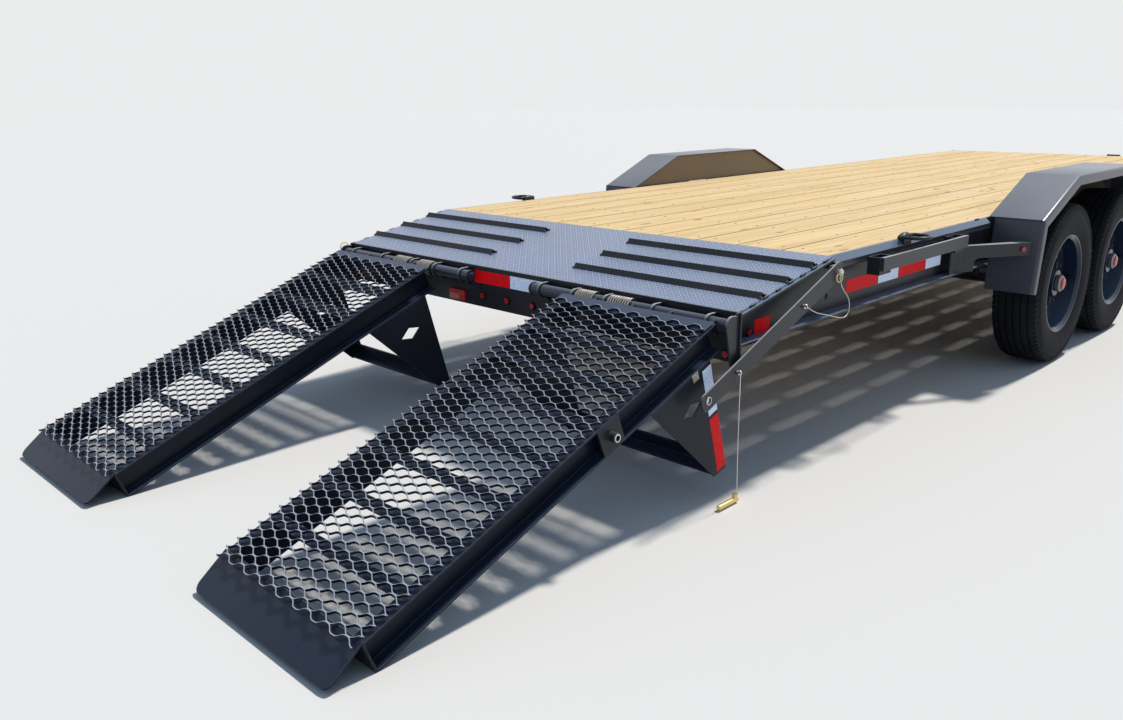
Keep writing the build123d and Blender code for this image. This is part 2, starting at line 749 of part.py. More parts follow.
# Tongue: two channels from under the deck that meet at the coupler
tongue_top = beam_top - cross_depth
tongue_bottom = tongue_top - tongue_depth
tongue_root_x = front_x - 950
tongue_root_y = 690
tongue_nose_x = nose_x - 330
tongue_nose_y = 66
tongue_run = hypot(tongue_nose_x - tongue_root_x, tongue_root_y - tongue_nose_y)
tongue_turn = degrees(atan2(tongue_nose_y - tongue_root_y, tongue_nose_x - tongue_root_x))
with BuildPart() as tongue:
    # Columns: lower and upper height, and how deep the leg or flange reaches inward
    for z0, z1, reach in (
        (tongue_bottom, tongue_top, tongue_wall),
        (tongue_bottom, tongue_bottom + tongue_wall, tongue_flange),
        (tongue_top - tongue_wall, tongue_top, tongue_flange),
    ):
        with BuildSketch(Plane.XY.offset(z0)):
            with Locations(Location((tongue_root_x, tongue_root_y, 0), (0, 0, tongue_turn))):
                with Locations((-40, -reach)):
                    Rectangle(tongue_run + 80, reach, align=(Align.MIN, Align.MIN))
            with Locations((tongue_root_x - 200, 0)):
                Rectangle(200, 1600, align=(Align.MIN, Align.CENTER), mode=Mode.SUBTRACT)
            with Locations((tongue_nose_x, 0)):
                Rectangle(200, 400, align=(Align.MIN, Align.CENTER), mode=Mode.SUBTRACT)
            with Locations((tongue_nose_x, 0)):
                Rectangle(600, 400, align=(Align.MAX, Align.MAX), mode=Mode.SUBTRACT)
        extrude(amount=z1 - z0)
    mirror(about=Plane.XZ)
    block(tongue_nose_x, tongue_nose_x + 10, -tongue_nose_y - 4, tongue_nose_y + 4, tongue_bottom, tongue_top)
save(tongue, "tongue")

# Front header across the beams' ends
with BuildPart() as front_header:
    block(front_x, front_x + header_thickness, -side_y, side_y, tongue_top, deck_height)
save(front_header, "front_header")

# Coupler: a mounting channel, a housing over the ball and its latch
coupler_height = 560
ball_x = nose_x - 48
coupler_x = tongue_nose_x + 10
with BuildPart() as coupler:
    block(coupler_x, coupler_x + 10, -50, 50, tongue_bottom, tongue_top + 60)
    block(coupler_x + 10, coupler_x + 60, -50, -42, tongue_bottom, tongue_top + 60)
    block(coupler_x + 10, coupler_x + 60, 42, 50, tongue_bottom, tongue_top + 60)
    block(coupler_x + 10, ball_x, -42, 42, coupler_height, coupler_height + 50)
    with BuildSketch(Plane.XY.offset(coupler_height - 28)):
        with Locations((ball_x, 0)):
            Circle(48)
    extrude(amount=90)
    with BuildSketch(Plane.XY.offset(coupler_height - 28)):
        with Locations((ball_x, 0)):
            Circle(ball_radius)
    extrude(amount=45, mode=Mode.SUBTRACT)
    with Locations((ball_x, 0, coupler_height + 17)):
        Sphere(ball_radius, mode=Mode.SUBTRACT)
save(coupler, "coupler")

# Jack: an outer tube in two brackets on the tongue's right leg, with its crank, and a drop leg to the ground
jack_run = 1870
jack_offset = 58
jack_tube = 38
jack_bore = 33
jack_low = 330
jack_high = 960
jack_foot = 10
jack_bracket = 10
jack_pad = 190
tongue_way = radians(tongue_turn)
jack_seat = (tongue_root_x + jack_run * cos(tongue_way), tongue_root_y + jack_run * sin(tongue_way))
jack_x = jack_seat[0] - jack_offset * sin(tongue_way)
jack_y = jack_seat[1] + jack_offset * cos(tongue_way)
crank_z = jack_high - 30
with BuildPart() as jack:
    with BuildSketch(Plane.XY.offset(jack_low)):
        with Locations((jack_x, jack_y)):
            Circle(jack_tube)
            Circle(jack_bore, mode=Mode.SUBTRACT)
    extrude(amount=jack_high - jack_low)
    for z in (tongue_bottom + jack_bracket, tongue_top - 2 * jack_bracket):
        seat = Plane(
            origin=(*jack_seat, z), x_dir=(cos(tongue_way), sin(tongue_way), 0), z_dir=(0, 0, 1),
        )
        with BuildSketch(seat):
            with Locations((0, (jack_offset + 10) / 2)):
                Rectangle(130, jack_offset + 10)
            with Locations((0, jack_offset)):
                Circle(jack_tube + 12)
                Circle(jack_tube, mode=Mode.SUBTRACT)
        extrude(amount=jack_bracket)
    with BuildSketch(Plane.XY.offset(jack_high)):
        with Locations((jack_x, jack_y)):
            Circle(jack_tube + 2)
    extrude(amount=12)
    with BuildSketch(Plane.XZ.offset(-jack_y - jack_tube + 2)):
        with Locations((jack_x, crank_z)):
            Circle(9)
    extrude(amount=-70)
    with BuildSketch(Plane.XZ.offset(-jack_y - jack_tube - 60)):
        with Locations((jack_x - 75, crank_z)):
            SlotOverall(180, 22)
    extrude(amount=-8)
    with BuildSketch(Plane.XZ.offset(-jack_y - jack_tube - 68)):
        with Locations((jack_x - 150, crank_z)):
            Circle(9)
    extrude(amount=-90)
    mirror(about=Plane.XZ, mode=Mode.REPLACE)
save(jack, "jack")
with BuildPart() as jack_leg:
    with BuildSketch(Plane.XY.offset(jack_foot)):
        with Locations((jack_x, -jack_y)):
            Circle(jack_bore - 0.3)
    extrude(amount=600)
    with BuildSketch(Plane.XY):
        with Locations((jack_x, -jack_y)):
            RectangleRounded(jack_pad, jack_pad, 24)
    extrude(amount=jack_foot)
save(jack_leg, "jack_leg")

# Axles with brake drums' backing plates
spindle_end = wheel_y + 40
for place, x in axle_places:
    with BuildPart() as axle:
        with BuildSketch(Plane.XZ.offset(-(wheel_y - 95))):
            with Locations((x, tyre_radius)):
                Circle(38)
        extrude(amount=2 * (wheel_y - 95))
        with BuildSketch(Plane.XZ.offset(-spindle_end)):
            with Locations((x, tyre_radius)):
                Circle(spindle_radius)
        extrude(amount=2 * spindle_end)
        for y in (-wheel_y + 95, wheel_y - 95 - 5):
            with BuildSketch(Plane.XZ.offset(-y)):
                with Locations((x, tyre_radius)):
                    Circle(brake_radius)
            extrude(amount=-5)
    save(axle, f"axle_{place}")

# Leaf springs between hangers, with a rocker at the middle
spring_y = deck_half_width - 26
spring_half = 22
eye_z = 470
eye_run = 330
leaf_thickness = 8
leaf_count = 4
seat_z = tyre_radius + 38
with BuildPart() as leaf_springs:
    for place, x in axle_places:
        rise = eye_z - seat_z - leaf_count * leaf_thickness + leaf_thickness / 2
        bend = (eye_run ** 2 + rise ** 2) / (2 * rise)
        with BuildSketch(Plane.XZ.offset(-spring_y - spring_half)):
            for i in range(leaf_count):
                reach = eye_run * (1 - 0.22 * i)
                z = seat_z + (leaf_count - i) * leaf_thickness
                turn = asin(reach / bend)
                with BuildLine():
                    ThreePointArc(
                        (x - reach, z + bend - bend * cos(turn)), (x, z), (x + reach, z + bend - bend * cos(turn))
                    )
                    ThreePointArc(
                        (x - reach, z + bend - bend * cos(turn) - leaf_thickness), (x, z - leaf_thickness),
                        (x + reach, z + bend - bend * cos(turn) - leaf_thickness),
                    )
                    for way in (-1, 1):
                        Line(
                            (x + way * reach, z + bend - bend * cos(turn)),
                            (x + way * reach, z + bend - bend * cos(turn) - leaf_thickness),
                        )
                make_face()
            for way in (-1, 1):
                with Locations((x + way * eye_run, eye_z)):
                    Circle(19)
                    Circle(10, mode=Mode.SUBTRACT)
        extrude(amount=2 * spring_half)
    mirror(about=Plane.XZ)
save(leaf_springs, "leaf_springs")
with BuildPart() as spring_hangers:
    rear_x, front_axle_x = [x for _, x in axle_places]
    for x, half in ((rear_x - eye_run, 30), (fender_x, 125), (front_axle_x + eye_run, 30)):
        for y in (spring_y - spring_half - 7, spring_y + spring_half + 1):
            block(x - half, x + half, y, y + 6, eye_z - 24, beam_bottom)
    for x in (rear_x - eye_run, rear_x + eye_run, front_axle_x - eye_run, front_axle_x + eye_run):
        with BuildSketch(Plane.XZ.offset(-spring_y - spring_half - 1)):
            with Locations((x, eye_z)):
                Circle(9.9)
        extrude(amount=2 * spring_half + 2)
    mirror(about=Plane.XZ)
save(spring_hangers, "spring_hangers")

# Wheels: a tyre on a dished wheel with its hub
for place, x in axle_places:
    for side, sign in sides:
        centre = Plane(origin=(x, sign * wheel_y, tyre_radius), x_dir=(0, sign, 0), z_dir=(sign, 0, 0))
        half = tyre_width / 2
        tread = half - tread_in
        edge = half - rim_edge_in
        lip = half - rim_flange_in
        seat = half - rim_seat_in
        cap_y = spindle_end - wheel_y + 1
        bore = spindle_radius + spindle_clearance
        with BuildPart() as tyre:
            with BuildSketch(centre):
                with BuildLine():
                    crown = Line((-tread, tyre_radius), (tread, tyre_radius))
                    ThreePointArc((tread, tyre_radius), (half - 9, tyre_radius - 7), (half - 5, tyre_radius - 20))
                    ThreePointArc((half - 5, tyre_radius - 20), (half, 310), (edge, rim_radius + 2))
                    Line((edge, rim_radius + 2), (lip, rim_radius + 1))
                    Line((lip, rim_radius + 1), (seat, rim_seat_radius + 1))
                    Line((seat, rim_seat_radius + 1), (-seat, rim_seat_radius + 1))
                    Line((-seat, rim_seat_radius + 1), (-lip, rim_radius + 1))
                    Line((-lip, rim_radius + 1), (-edge, rim_radius + 2))
                    ThreePointArc((-edge, rim_radius + 2), (-half, 310), (-half + 5, tyre_radius - 20))
                    ThreePointArc((5 - half, tyre_radius - 20), (9 - half, tyre_radius - 7), (-tread, tyre_radius))
                make_face()
            revolve(axis=Axis((x, 0, tyre_radius), (0, 1, 0)))
        save(tyre, f"tyre_{place}_{side}")
        with BuildPart() as wheel:
            with BuildSketch(centre):
                with BuildLine():
                    Polyline(
                        (-edge, rim_radius), (-lip, rim_radius), (-seat, rim_seat_radius), (seat, rim_seat_radius),
                        (lip, rim_radius), (edge, rim_radius), (edge, rim_radius - 6),
                        (seat - 2, rim_seat_radius - 8), (20, rim_seat_radius - 16),
                        (10, 150), (6, 110), (6, hub_radius), (60, hub_radius - 10), (66, 0),
                        (cap_y, 0), (cap_y, bore), (-80, bore), (-80, 60), (-40, 70), (-4, hub_radius + 20),
                        (0, 150), (10, rim_seat_radius - 26), (2 - seat, rim_seat_radius - 8),
                        (-edge, rim_radius - 6), close=True,
                    )
                make_face()
            revolve(axis=Axis((x, 0, tyre_radius), (0, 1, 0)))
        save(wheel, f"wheel_{place}_{side}")

# Free wire ropes on the right lock bar: one looped up to the bar's pivot, one down to a pin on the ground
rope_radius = 1.5
rope_y = -bar_y - bar_thickness - eyelet_depth - rope_radius
eyelets = [(bar_pin_x - s * cos(bar_rest), bar_pin_z - s * sin(bar_rest)) for s in eyelet_places]
pin_x = eyelets[1][0] + 8
pin_z = 32
pin_lie = 11
pin_gap = 0.5
loop_offsets = (
    (0, 0), (36, -20), (84, -38), (134, -50), (186, -66), (234, -78), (276, -84), (300, -56), (286, -14),
    (248, 16), (216, 50),
)
loop_points = [(eyelets[0][0] + x, eyelets[0][1] + z) for x, z in loop_offsets]
loop_points.append((bar_pin_x, bar_pin_z - bar_pin_radius - pin_gap))
drop_points = (eyelets[1], (eyelets[1][0] - 2, (eyelets[1][1] + pin_z) / 2), (pin_x, pin_z + pin_gap))
for name, points in (("loop_rope", loop_points), ("pin_rope", drop_points)):
    vectors = [Vector(x, rope_y, z) for x, z in points]
    radii = []
    for a, b, c in zip(vectors, vectors[1:], vectors[2:]):
        turn = radians((b - a).get_angle(c - b))
        radii.append(0.45 * min((b - a).length, (c - b).length) / tan(turn / 2))
    print(name, "radii", [round(r) for r in radii])
    with BuildPart() as rope:
        with BuildLine() as rope_line:
            FilletPolyline(*vectors, radius=radii)
        with BuildSketch(Plane(origin=rope_line.line @ 0, z_dir=rope_line.line % 0)):
            Circle(rope_radius)
        sweep()
    save(rope, name)

# The loose pin at the rope's end lies on the ground
with BuildPart() as ground_pin:
    with BuildSketch(Plane.XY.offset(pin_lie)):
        with Locations((pin_x, rope_y)):
            Circle(9)
    extrude(amount=pin_z - pin_lie)
    with BuildSketch(Plane.YZ.offset(pin_x + 9)):
        with Locations((rope_y, pin_lie)):
            Circle(9)
    extrude(amount=-100)
save(ground_pin, "ground_pin")

print("length", round(overall_length, 1), "deck_x", round(deck_x, 2), "hinge", round(hinge_x, 3), round(hinge_z, 3))
print("ramp pitch", round(degrees(ramp_pitch), 3), "bar length", round(bar_length, 2))
print("bar swing", round(degrees(bar_swing), 3), "bar pin", round(bar_pin_x, 3), round(bar_pin_z, 3))
print("axles", [round(x, 3) for _, x in axle_places], "nose", round(nose_x, 3), "ball", round(ball_x, 3))
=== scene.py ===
# %% [markdown]
# # A low equipment trailer with fold-up mesh ramps
# The steel frame, boards, ramps, axles and wheels come from a CAD model, at full size and in metres. This
# file adds what a camera sees and a CAD file leaves out: finishes, tyre tread, mesh, spring coils, tape,
# bolts, weld beads and wire ropes. The next cell loads the CAD model and keeps its size for a later test.

# %% Load the trailer
import bmesh
import bpy
import numpy as np
from mathutils import Matrix, Vector


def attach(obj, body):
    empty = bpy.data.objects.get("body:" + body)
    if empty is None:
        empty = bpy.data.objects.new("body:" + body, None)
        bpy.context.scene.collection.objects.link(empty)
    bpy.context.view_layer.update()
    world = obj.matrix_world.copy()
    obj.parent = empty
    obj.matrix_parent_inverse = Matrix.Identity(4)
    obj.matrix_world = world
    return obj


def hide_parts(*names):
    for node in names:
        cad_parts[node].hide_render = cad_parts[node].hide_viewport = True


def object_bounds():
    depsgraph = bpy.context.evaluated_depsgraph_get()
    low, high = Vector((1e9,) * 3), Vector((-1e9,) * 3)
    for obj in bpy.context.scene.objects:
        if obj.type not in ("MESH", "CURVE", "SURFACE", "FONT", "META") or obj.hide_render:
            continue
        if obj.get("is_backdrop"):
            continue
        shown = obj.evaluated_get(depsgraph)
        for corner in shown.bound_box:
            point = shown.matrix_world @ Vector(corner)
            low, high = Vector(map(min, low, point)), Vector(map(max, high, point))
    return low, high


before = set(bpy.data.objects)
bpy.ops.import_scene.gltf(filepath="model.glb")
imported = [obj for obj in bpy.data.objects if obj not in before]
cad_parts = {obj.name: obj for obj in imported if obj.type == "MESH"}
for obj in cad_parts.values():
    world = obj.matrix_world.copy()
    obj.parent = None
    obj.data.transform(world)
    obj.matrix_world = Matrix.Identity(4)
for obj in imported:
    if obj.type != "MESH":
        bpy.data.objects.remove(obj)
cad_box = [list(corner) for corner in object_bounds()]
print("CAD box from", np.round(cad_box[0], 3), "to", np.round(cad_box[1], 3))

# %% [markdown]
# ## Places to build from
# All places count from a few lines of the trailer: where the boards end and the sloping tail begins, the
# hinge pipe that the ramps turn on, the lock bars' pivots and the two axles. They are written down once,
# so that every later piece can say where it sits by name. The sides are +1 for the left and -1 for the
# right, facing forward.

# %% Main places, in metres
deck_x, deck_z = -2.71369, 0.728
tail_run, tail_fall = 0.560, 0.105
tail_x = deck_x - tail_run
tail_slope = np.arctan2(tail_fall, tail_run)
hinge_x, hinge_z = -3.313687, 0.585
ramp_pitch = np.radians(21.038)
ramp_inner_y, ramp_outer_y = 0.388, 1.045
bar_x, bar_z = -2.721687, 0.678
axle_x = {"rear": -0.849687, "front": -0.011687}
wheel_y, wheel_z = 1.186, 0.3835
sides = {"left": 1.0, "right": -1.0}
print("sloping tail falls", round(np.degrees(tail_slope), 1), "degrees")

# %% [markdown]
# ## Camera
# The picture was taken from behind the trailer's right corner, at about chest height, with a wide lens.
# The camera's place, turns and focal length come from matching corners of the trailer. Its three axes are
# worked out from yaw, pitch and roll, and put into the camera's matrix as columns.

# %% Camera behind the right corner
def new_object(name, data):
    """An object in the scene, at the origin."""
    thing = bpy.data.objects.new(name, data)
    bpy.context.collection.objects.link(thing)
    return thing


photo_width = 1123
focal_pixels = 942.33
sensor = 36.0
camera_place = Vector((-2.9866 + deck_x, -2.69, 1.287))
yaw, pitch, roll = np.radians((44.732, -15.851, -0.525))
look = np.array([np.cos(yaw) * np.cos(pitch), np.sin(yaw) * np.cos(pitch), np.sin(pitch)])
level_right = np.array([np.sin(yaw), -np.cos(yaw), 0.0])
level_up = np.cross(level_right, look)
camera_right = np.cos(roll) * level_right + np.sin(roll) * level_up
camera_up = np.cos(roll) * level_up - np.sin(roll) * level_right
camera = new_object("camera", bpy.data.cameras.new("camera"))
camera.data.sensor_width = sensor
camera.data.lens = focal_pixels * sensor / photo_width
camera.data.clip_start = 0.05
turn = Matrix(np.stack([camera_right, camera_up, -look], axis=1).tolist())
camera.matrix_world = Matrix.Translation(camera_place) @ turn.to_4x4()
bpy.context.scene.camera = camera
print("lens", round(camera.data.lens, 2), "mm")

# %% [markdown]
# ## Wire ropes
# Two thin wire ropes hang from eyelets on the right lock bar. One keeps the clip at the bar's pivot, and
# the other carries the ramp's lock pin, which lies on the ground. A rope is a curve through a few control
# points: a smooth spline bends evenly, as stiff wire does, where straight pieces with rounded corners
# look like bent rod.

# %% Wire rope curves
rope_y = -1.1095
eyelet_loop = (-2.938954, 0.591102)
eyelet_drop = (-3.313129, 0.441439)
loop_steps = (
    (0, 0), (36, -20), (84, -38), (134, -50), (186, -66), (234, -78), (276, -84), (300, -56), (286, -14),
    (248, 16), (216, 50),
)
loop_route = [(eyelet_loop[0] + x / 1000, rope_y, eyelet_loop[1] + z / 1000) for x, z in loop_steps]
loop_route.append((bar_x, rope_y, 0.6685))
drop_route = [
    (eyelet_drop[0], rope_y, eyelet_drop[1]), (eyelet_drop[0] - 0.002, rope_y, 0.2367),
    (eyelet_drop[0] + 0.008, rope_y, 0.0325),
]


def wire_rope(name, route, diameter):
    """A round rope along one smooth spline whose control points are the route.

    The points' radius scales the bevel, and a small one keeps Blender's box round the curve slim.
    """
    curve = bpy.data.curves.new(name, "CURVE")
    curve.dimensions = "3D"
    spline = curve.splines.new("NURBS")
    spline.points.add(len(route) - 1)
    spline.points.foreach_set("co", np.c_[np.array(route), np.ones(len(route))].ravel())
    slim = 0.01
    spline.points.foreach_set("radius", np.full(len(route), slim))
    spline.order_u = 3
    spline.use_endpoint_u = True
    spline.resolution_u = 12
    rope = new_object(name, curve)
    line = bpy.data.meshes.new_from_object(rope)
    points = np.empty(len(line.vertices) * 3)
    line.vertices.foreach_get("co", points)
    length = np.linalg.norm(np.diff(points.reshape(-1, 3), axis=0), axis=1).sum()
    curve.bevel_depth = diameter / 2 / slim
    curve.bevel_resolution = 3
    curve.use_fill_caps = True
    print(name, "length", round(float(length), 4))
    return rope


loop_rope = wire_rope("loop_rope_wire", loop_route, 0.003)
drop_rope = wire_rope("pin_rope_wire", drop_route, 0.003)
for rope, node in ((loop_rope, "loop_rope"), (drop_rope, "pin_rope")):
    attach(rope, "bar_right")
    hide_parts(node)

# %% [markdown]
# ## Floor and light
# A plain pale floor keeps the trailer's shadow, and the backdrop is as pale as the floor, also in
# reflections. The light is a soft sky and one soft sun, high and a little to the front, so the side and
# the rear faces lie in gentle shade. The bright line on the paint's edges is a highlight painted into the
# finishes. Finishes are built from nodes, so the first helpers here make a node and feed its inputs.

# %% Node makers
def feed(tree, node, values):
    """Fill a node's inputs: a socket of another node is linked, and a number, vector or colour is set."""
    for label, value in values.items():
        socket = node.inputs[label]
        if isinstance(value, bpy.types.NodeSocket):
            tree.links.new(value, socket)
        else:
            socket.default_value = (*value, 1) if socket.type == "RGBA" else value
    return node


def add_node(tree, kind, values=None, **settings):
    """A new shader node of a kind, with its settings made and its inputs filled."""
    node = tree.nodes.new("ShaderNode" + kind)
    for label, value in settings.items():
        setattr(node, label, value)
    return feed(tree, node, values or {})


def math_node(tree, operation, *terms):
    """The result of one Math node."""
    return add_node(tree, "Math", dict(enumerate(terms)), operation=operation).outputs[0]


def scaled(tree, value, gain, start=0.0):
    """A value times a gain, plus a start."""
    return math_node(tree, "MULTIPLY_ADD", value, gain, start)


def new_finish(name):
    """A material, its node tree and its surface shader."""
    material = bpy.data.materials.new(name)
    material.use_nodes = True
    tree = material.node_tree
    tree.nodes.clear()
    shader = add_node(tree, "BsdfPrincipled")
    add_node(tree, "OutputMaterial", {"Surface": shader.outputs["BSDF"]})
    return material, tree, shader


print("node makers ready")

# %% Floor, sky and sun
def rectangle(low_a, high_a, low_b, high_b):
    """The four corners (a, b) of a rectangle, in turn."""
    return [(low_a, low_b), (high_a, low_b), (high_a, high_b), (low_a, high_b)]


reach, floor_z = 60.0, -0.0008
floor_material, tree, shader = new_finish("pale_floor")
feed(tree, shader, {"Base Color": (0.72, 0.695, 0.665), "Roughness": 0.9, "Specular IOR Level": 0.1})
floor_mesh = bpy.data.meshes.new("floor")
floor_corners = [(x, y, floor_z) for x, y in rectangle(-reach, reach, -reach, reach)]
floor_mesh.from_pydata(floor_corners, [], [(0, 1, 2, 3)])
floor_mesh.materials.append(floor_material)
new_object("floor", floor_mesh)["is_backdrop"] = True

world = bpy.data.worlds.new("studio")
bpy.context.scene.world = world
world.use_nodes = True
sky = world.node_tree
sky.nodes.clear()
sky_light = add_node(sky, "Background", {"Color": (0.52, 0.72, 1.0), "Strength": 0.42})
sky_white = add_node(sky, "Background", {"Color": (0.831, 0.838, 0.846), "Strength": 1.0})
rays = add_node(sky, "LightPath").outputs
seen = rays["Is Camera Ray"]
for kind in ("Is Glossy Ray", "Is Transmission Ray"):
    seen = math_node(sky, "MAXIMUM", seen, rays[kind])
both = add_node(sky, "MixShader", {0: seen, 1: sky_light.outputs[0], 2: sky_white.outputs[0]})
add_node(sky, "OutputWorld", {"Surface": both.outputs[0]})

sun = new_object("sun", bpy.data.lights.new("sun", "SUN"))
sun.data.energy = 3.5
sun.data.angle = np.radians(5)
sun.data.color = (1.0, 0.97, 0.92)
sun.rotation_mode = "QUATERNION"
sun_from = Vector((0.56, -0.05, 0.83)).normalized()
sun.rotation_quaternion = sun_from.to_track_quat("Z", "Y")
bpy.context.scene.view_settings.view_transform = "Standard"
print("sun height", round(np.degrees(np.arcsin(sun_from.z)), 1), "degrees")

# %% [markdown]
# ## Shared effects
# Several finishes need the same three effects: dust that settles unevenly, a fine orange-peel ripple in
# sprayed paint, and a painted highlight: a bright line painted on sharp edges, strongest where they look
# up, where gloss paint would catch the light. The last one compares the true normal with one that is
# rounded over the edge: where they differ, there is an edge.
# Each is a node group with named sockets, so that one finish can use it strongly and another faintly.

# %% Pattern and group helpers
def noise_node(tree, vector, scale, detail=3.0, rough=0.5):
    """Noise over a vector, giving its plain value."""
    values = {"Vector": vector, "Scale": scale, "Detail": detail, "Roughness": rough}
    return add_node(tree, "TexNoise", values).outputs[0]


def stretch(tree, vector, scale):
    """A vector scaled along each axis, to stretch a pattern."""
    return add_node(tree, "Mapping", {"Vector": vector, "Scale": scale}).outputs[0]


def ramp_node(tree, value, stops):
    """A colour ramp; stops are (place, colour), or (place, grey) with one number."""
    node = add_node(tree, "ValToRGB", {0: value})
    band = node.color_ramp
    while len(band.elements) < len(stops):
        band.elements.new(0.5)
    for element, (place, colour) in zip(band.elements, stops):
        element.position = place
        element.color = (*np.broadcast_to(colour, 3), 1)
    return node.outputs[0]


def mix_colour(tree, amount, first, second):
    """Two colours mixed by an amount; the Mix node's colour sockets are numbers 6, 7 and 2."""
    return add_node(tree, "Mix", {0: amount, 6: first, 7: second}, data_type="RGBA").outputs[2]


def new_group(name, vector, numbers, output):
    """A node group with a vector input, number inputs and one output, and its sockets inside."""
    group = bpy.data.node_groups.new(name, "ShaderNodeTree")
    group.interface.new_socket(vector, in_out="INPUT", socket_type="NodeSocketVector")
    for label, value in numbers.items():
        socket = group.interface.new_socket(label, in_out="INPUT", socket_type="NodeSocketFloat")
        socket.default_value = value
    group.interface.new_socket(output, in_out="OUTPUT", socket_type="NodeSocketFloat")
    given = group.nodes.new("NodeGroupInput").outputs
    return group, given, group.nodes.new("NodeGroupOutput").inputs[output]


def clamped(tree, value):
    """A value held between 0 and 1."""
    return add_node(tree, "Clamp", {0: value}).outputs[0]


print("pattern helpers ready")

# %% Groups for dust, paint ripple and edge glint
dust_group, given, result = new_group("settled_dust", "Vector", {"Up": 0.0, "Amount": 0.5}, "Mask")
coarse = noise_node(dust_group, given["Vector"], 3.0, 6.0, 0.62)
fine = noise_node(dust_group, given["Vector"], 38.0, 4.0, 0.6)
patches = scaled(dust_group, coarse, 1.6, -0.45)
speckle = scaled(dust_group, fine, 1.1, 0.05)
facing = scaled(dust_group, given["Up"], 0.7, 0.3)
dusty = scaled(dust_group, scaled(dust_group, patches, speckle), facing)
dust_group.links.new(clamped(dust_group, scaled(dust_group, dusty, given["Amount"])), result)

ripple_group, given, result = new_group("sprayed_ripple", "Vector", {}, "Height")
wide = noise_node(ripple_group, given["Vector"], 9.0, 1.0)
close = noise_node(ripple_group, given["Vector"], 260.0, 1.0)
ripple_group.links.new(scaled(ripple_group, close, 0.1, wide), result)

# Painted highlight: the mask grows where the rounded normal turns from the true one, and more where the
# edge looks up.
painted_glint_group, given, result = new_group("painted_edge_glint", "Rounded", {"Amount": 0.5}, "Mask")
true_normal = add_node(painted_glint_group, "NewGeometry").outputs["Normal"]
rounded = given["Rounded"]
agree = add_node(painted_glint_group, "VectorMath", {0: rounded, 1: true_normal}, operation="DOT_PRODUCT")
looks = add_node(painted_glint_group, "SeparateXYZ", {0: rounded})
bend = scaled(painted_glint_group, agree.outputs["Value"], -5.0, 4.9)
upward = math_node(painted_glint_group, "MAXIMUM", looks.outputs["Z"], 0.0)
lift = scaled(painted_glint_group, upward, 0.9, 0.15)
glow = scaled(painted_glint_group, clamped(painted_glint_group, bend), lift)
painted_glint_group.links.new(scaled(painted_glint_group, glow, given["Amount"]), result)
print("groups", dust_group.name, ripple_group.name, painted_glint_group.name)

# %% [markdown]
# ## Painted steel
# The steel is sprayed semi-gloss black, which shows the sky as a grey-blue sheen on every face that looks
# up. A dark base under a clear coat gives part of that, and a pale blue painted into the base colour by how
# far a face looks up gives the rest: a painted sky reflection. The Bevel node rounds the sharp edges in the
# shading alone, and the glint group paints a bright highlight on them. Dust greys the faces that look up.

# %% Surface helpers
def use_group(tree, group, **values):
    """The output of a group in a material, with its inputs filled by name."""
    return add_node(tree, "Group", values, node_tree=group).outputs[0]


def edge_normal(tree, radius):
    """Normals that turn round sharp edges over the given radius."""
    return add_node(tree, "Bevel", {"Radius": radius}, samples=4).outputs[0]


def bump(tree, height, distance, strength, normal=None):
    """Normal from a height in metres times distance, laid over another normal if there is one."""
    under = {} if normal is None else {"Normal": normal}
    values = {"Height": height, "Distance": distance, "Strength": strength}
    return add_node(tree, "Bump", values | under).outputs[0]


def facing_up(tree):
    """How far the surface looks up, from 0 to 1."""
    parts = add_node(tree, "SeparateXYZ", {0: add_node(tree, "NewGeometry").outputs["Normal"]})
    return math_node(tree, "MAXIMUM", parts.outputs["Z"], 0.0)


def object_place(tree):
    """The surface's place in the trailer's own frame."""
    return add_node(tree, "TexCoord").outputs["Object"]


def shade(colour, factor):
    """A colour made darker or lighter."""
    return tuple(factor * c for c in colour)


print("surface helpers ready")

# %% Paints
def painted(
    name, colour, rough, coat, dust, ripple=0.0006, edge=0.0016, coat_rough=0.28, wear_and_highlight=0.0, painted_sheen=0.0,
    painted_glint=0.0, sky=(0.26, 0.36, 0.54),
):
    """Sprayed paint: base colour, dust, clear coat, painted sky sheen and edge highlights, pale marked
    faces.
    """
    material, tree, shader = new_finish(name)
    place, up = object_place(tree), facing_up(tree)
    settled = use_group(tree, dust_group, Vector=place, Up=up, Amount=dust)
    base = mix_colour(tree, noise_node(tree, place, 2.2, 5.0), shade(colour, 0.8), shade(colour, 1.25))
    # Painted sky reflection: faces that look up are mixed toward the sky colour.
    if painted_sheen:
        base = mix_colour(tree, scaled(tree, up, painted_sheen), base, sky)
    # Marked faces are painted pale blue-white: worn paint and a painted highlight.
    if wear_and_highlight:
        mark = add_node(tree, "Attribute", attribute_name="wear_and_highlight_edge").outputs["Fac"]
        base = mix_colour(tree, scaled(tree, mark, wear_and_highlight), base, (0.45, 0.49, 0.57))
    normal = edge_normal(tree, edge) if edge else None
    # Painted highlight: sharp edges, most of all those that look up, are mixed toward a pale grey-blue.
    if painted_glint:
        line = use_group(tree, painted_glint_group, Rounded=normal, Amount=painted_glint)
        base = mix_colour(tree, line, base, (0.46, 0.50, 0.56))
    feed(tree, shader, {
        "Base Color": mix_colour(tree, settled, base, (0.30, 0.30, 0.29)),
        "Roughness": scaled(tree, settled, 0.45, rough),
        "Specular IOR Level": 0.16, "Coat Weight": coat, "Coat Roughness": coat_rough,
        "Normal": bump(tree, use_group(tree, ripple_group, Vector=place), ripple, 0.6, normal),
    })
    return material
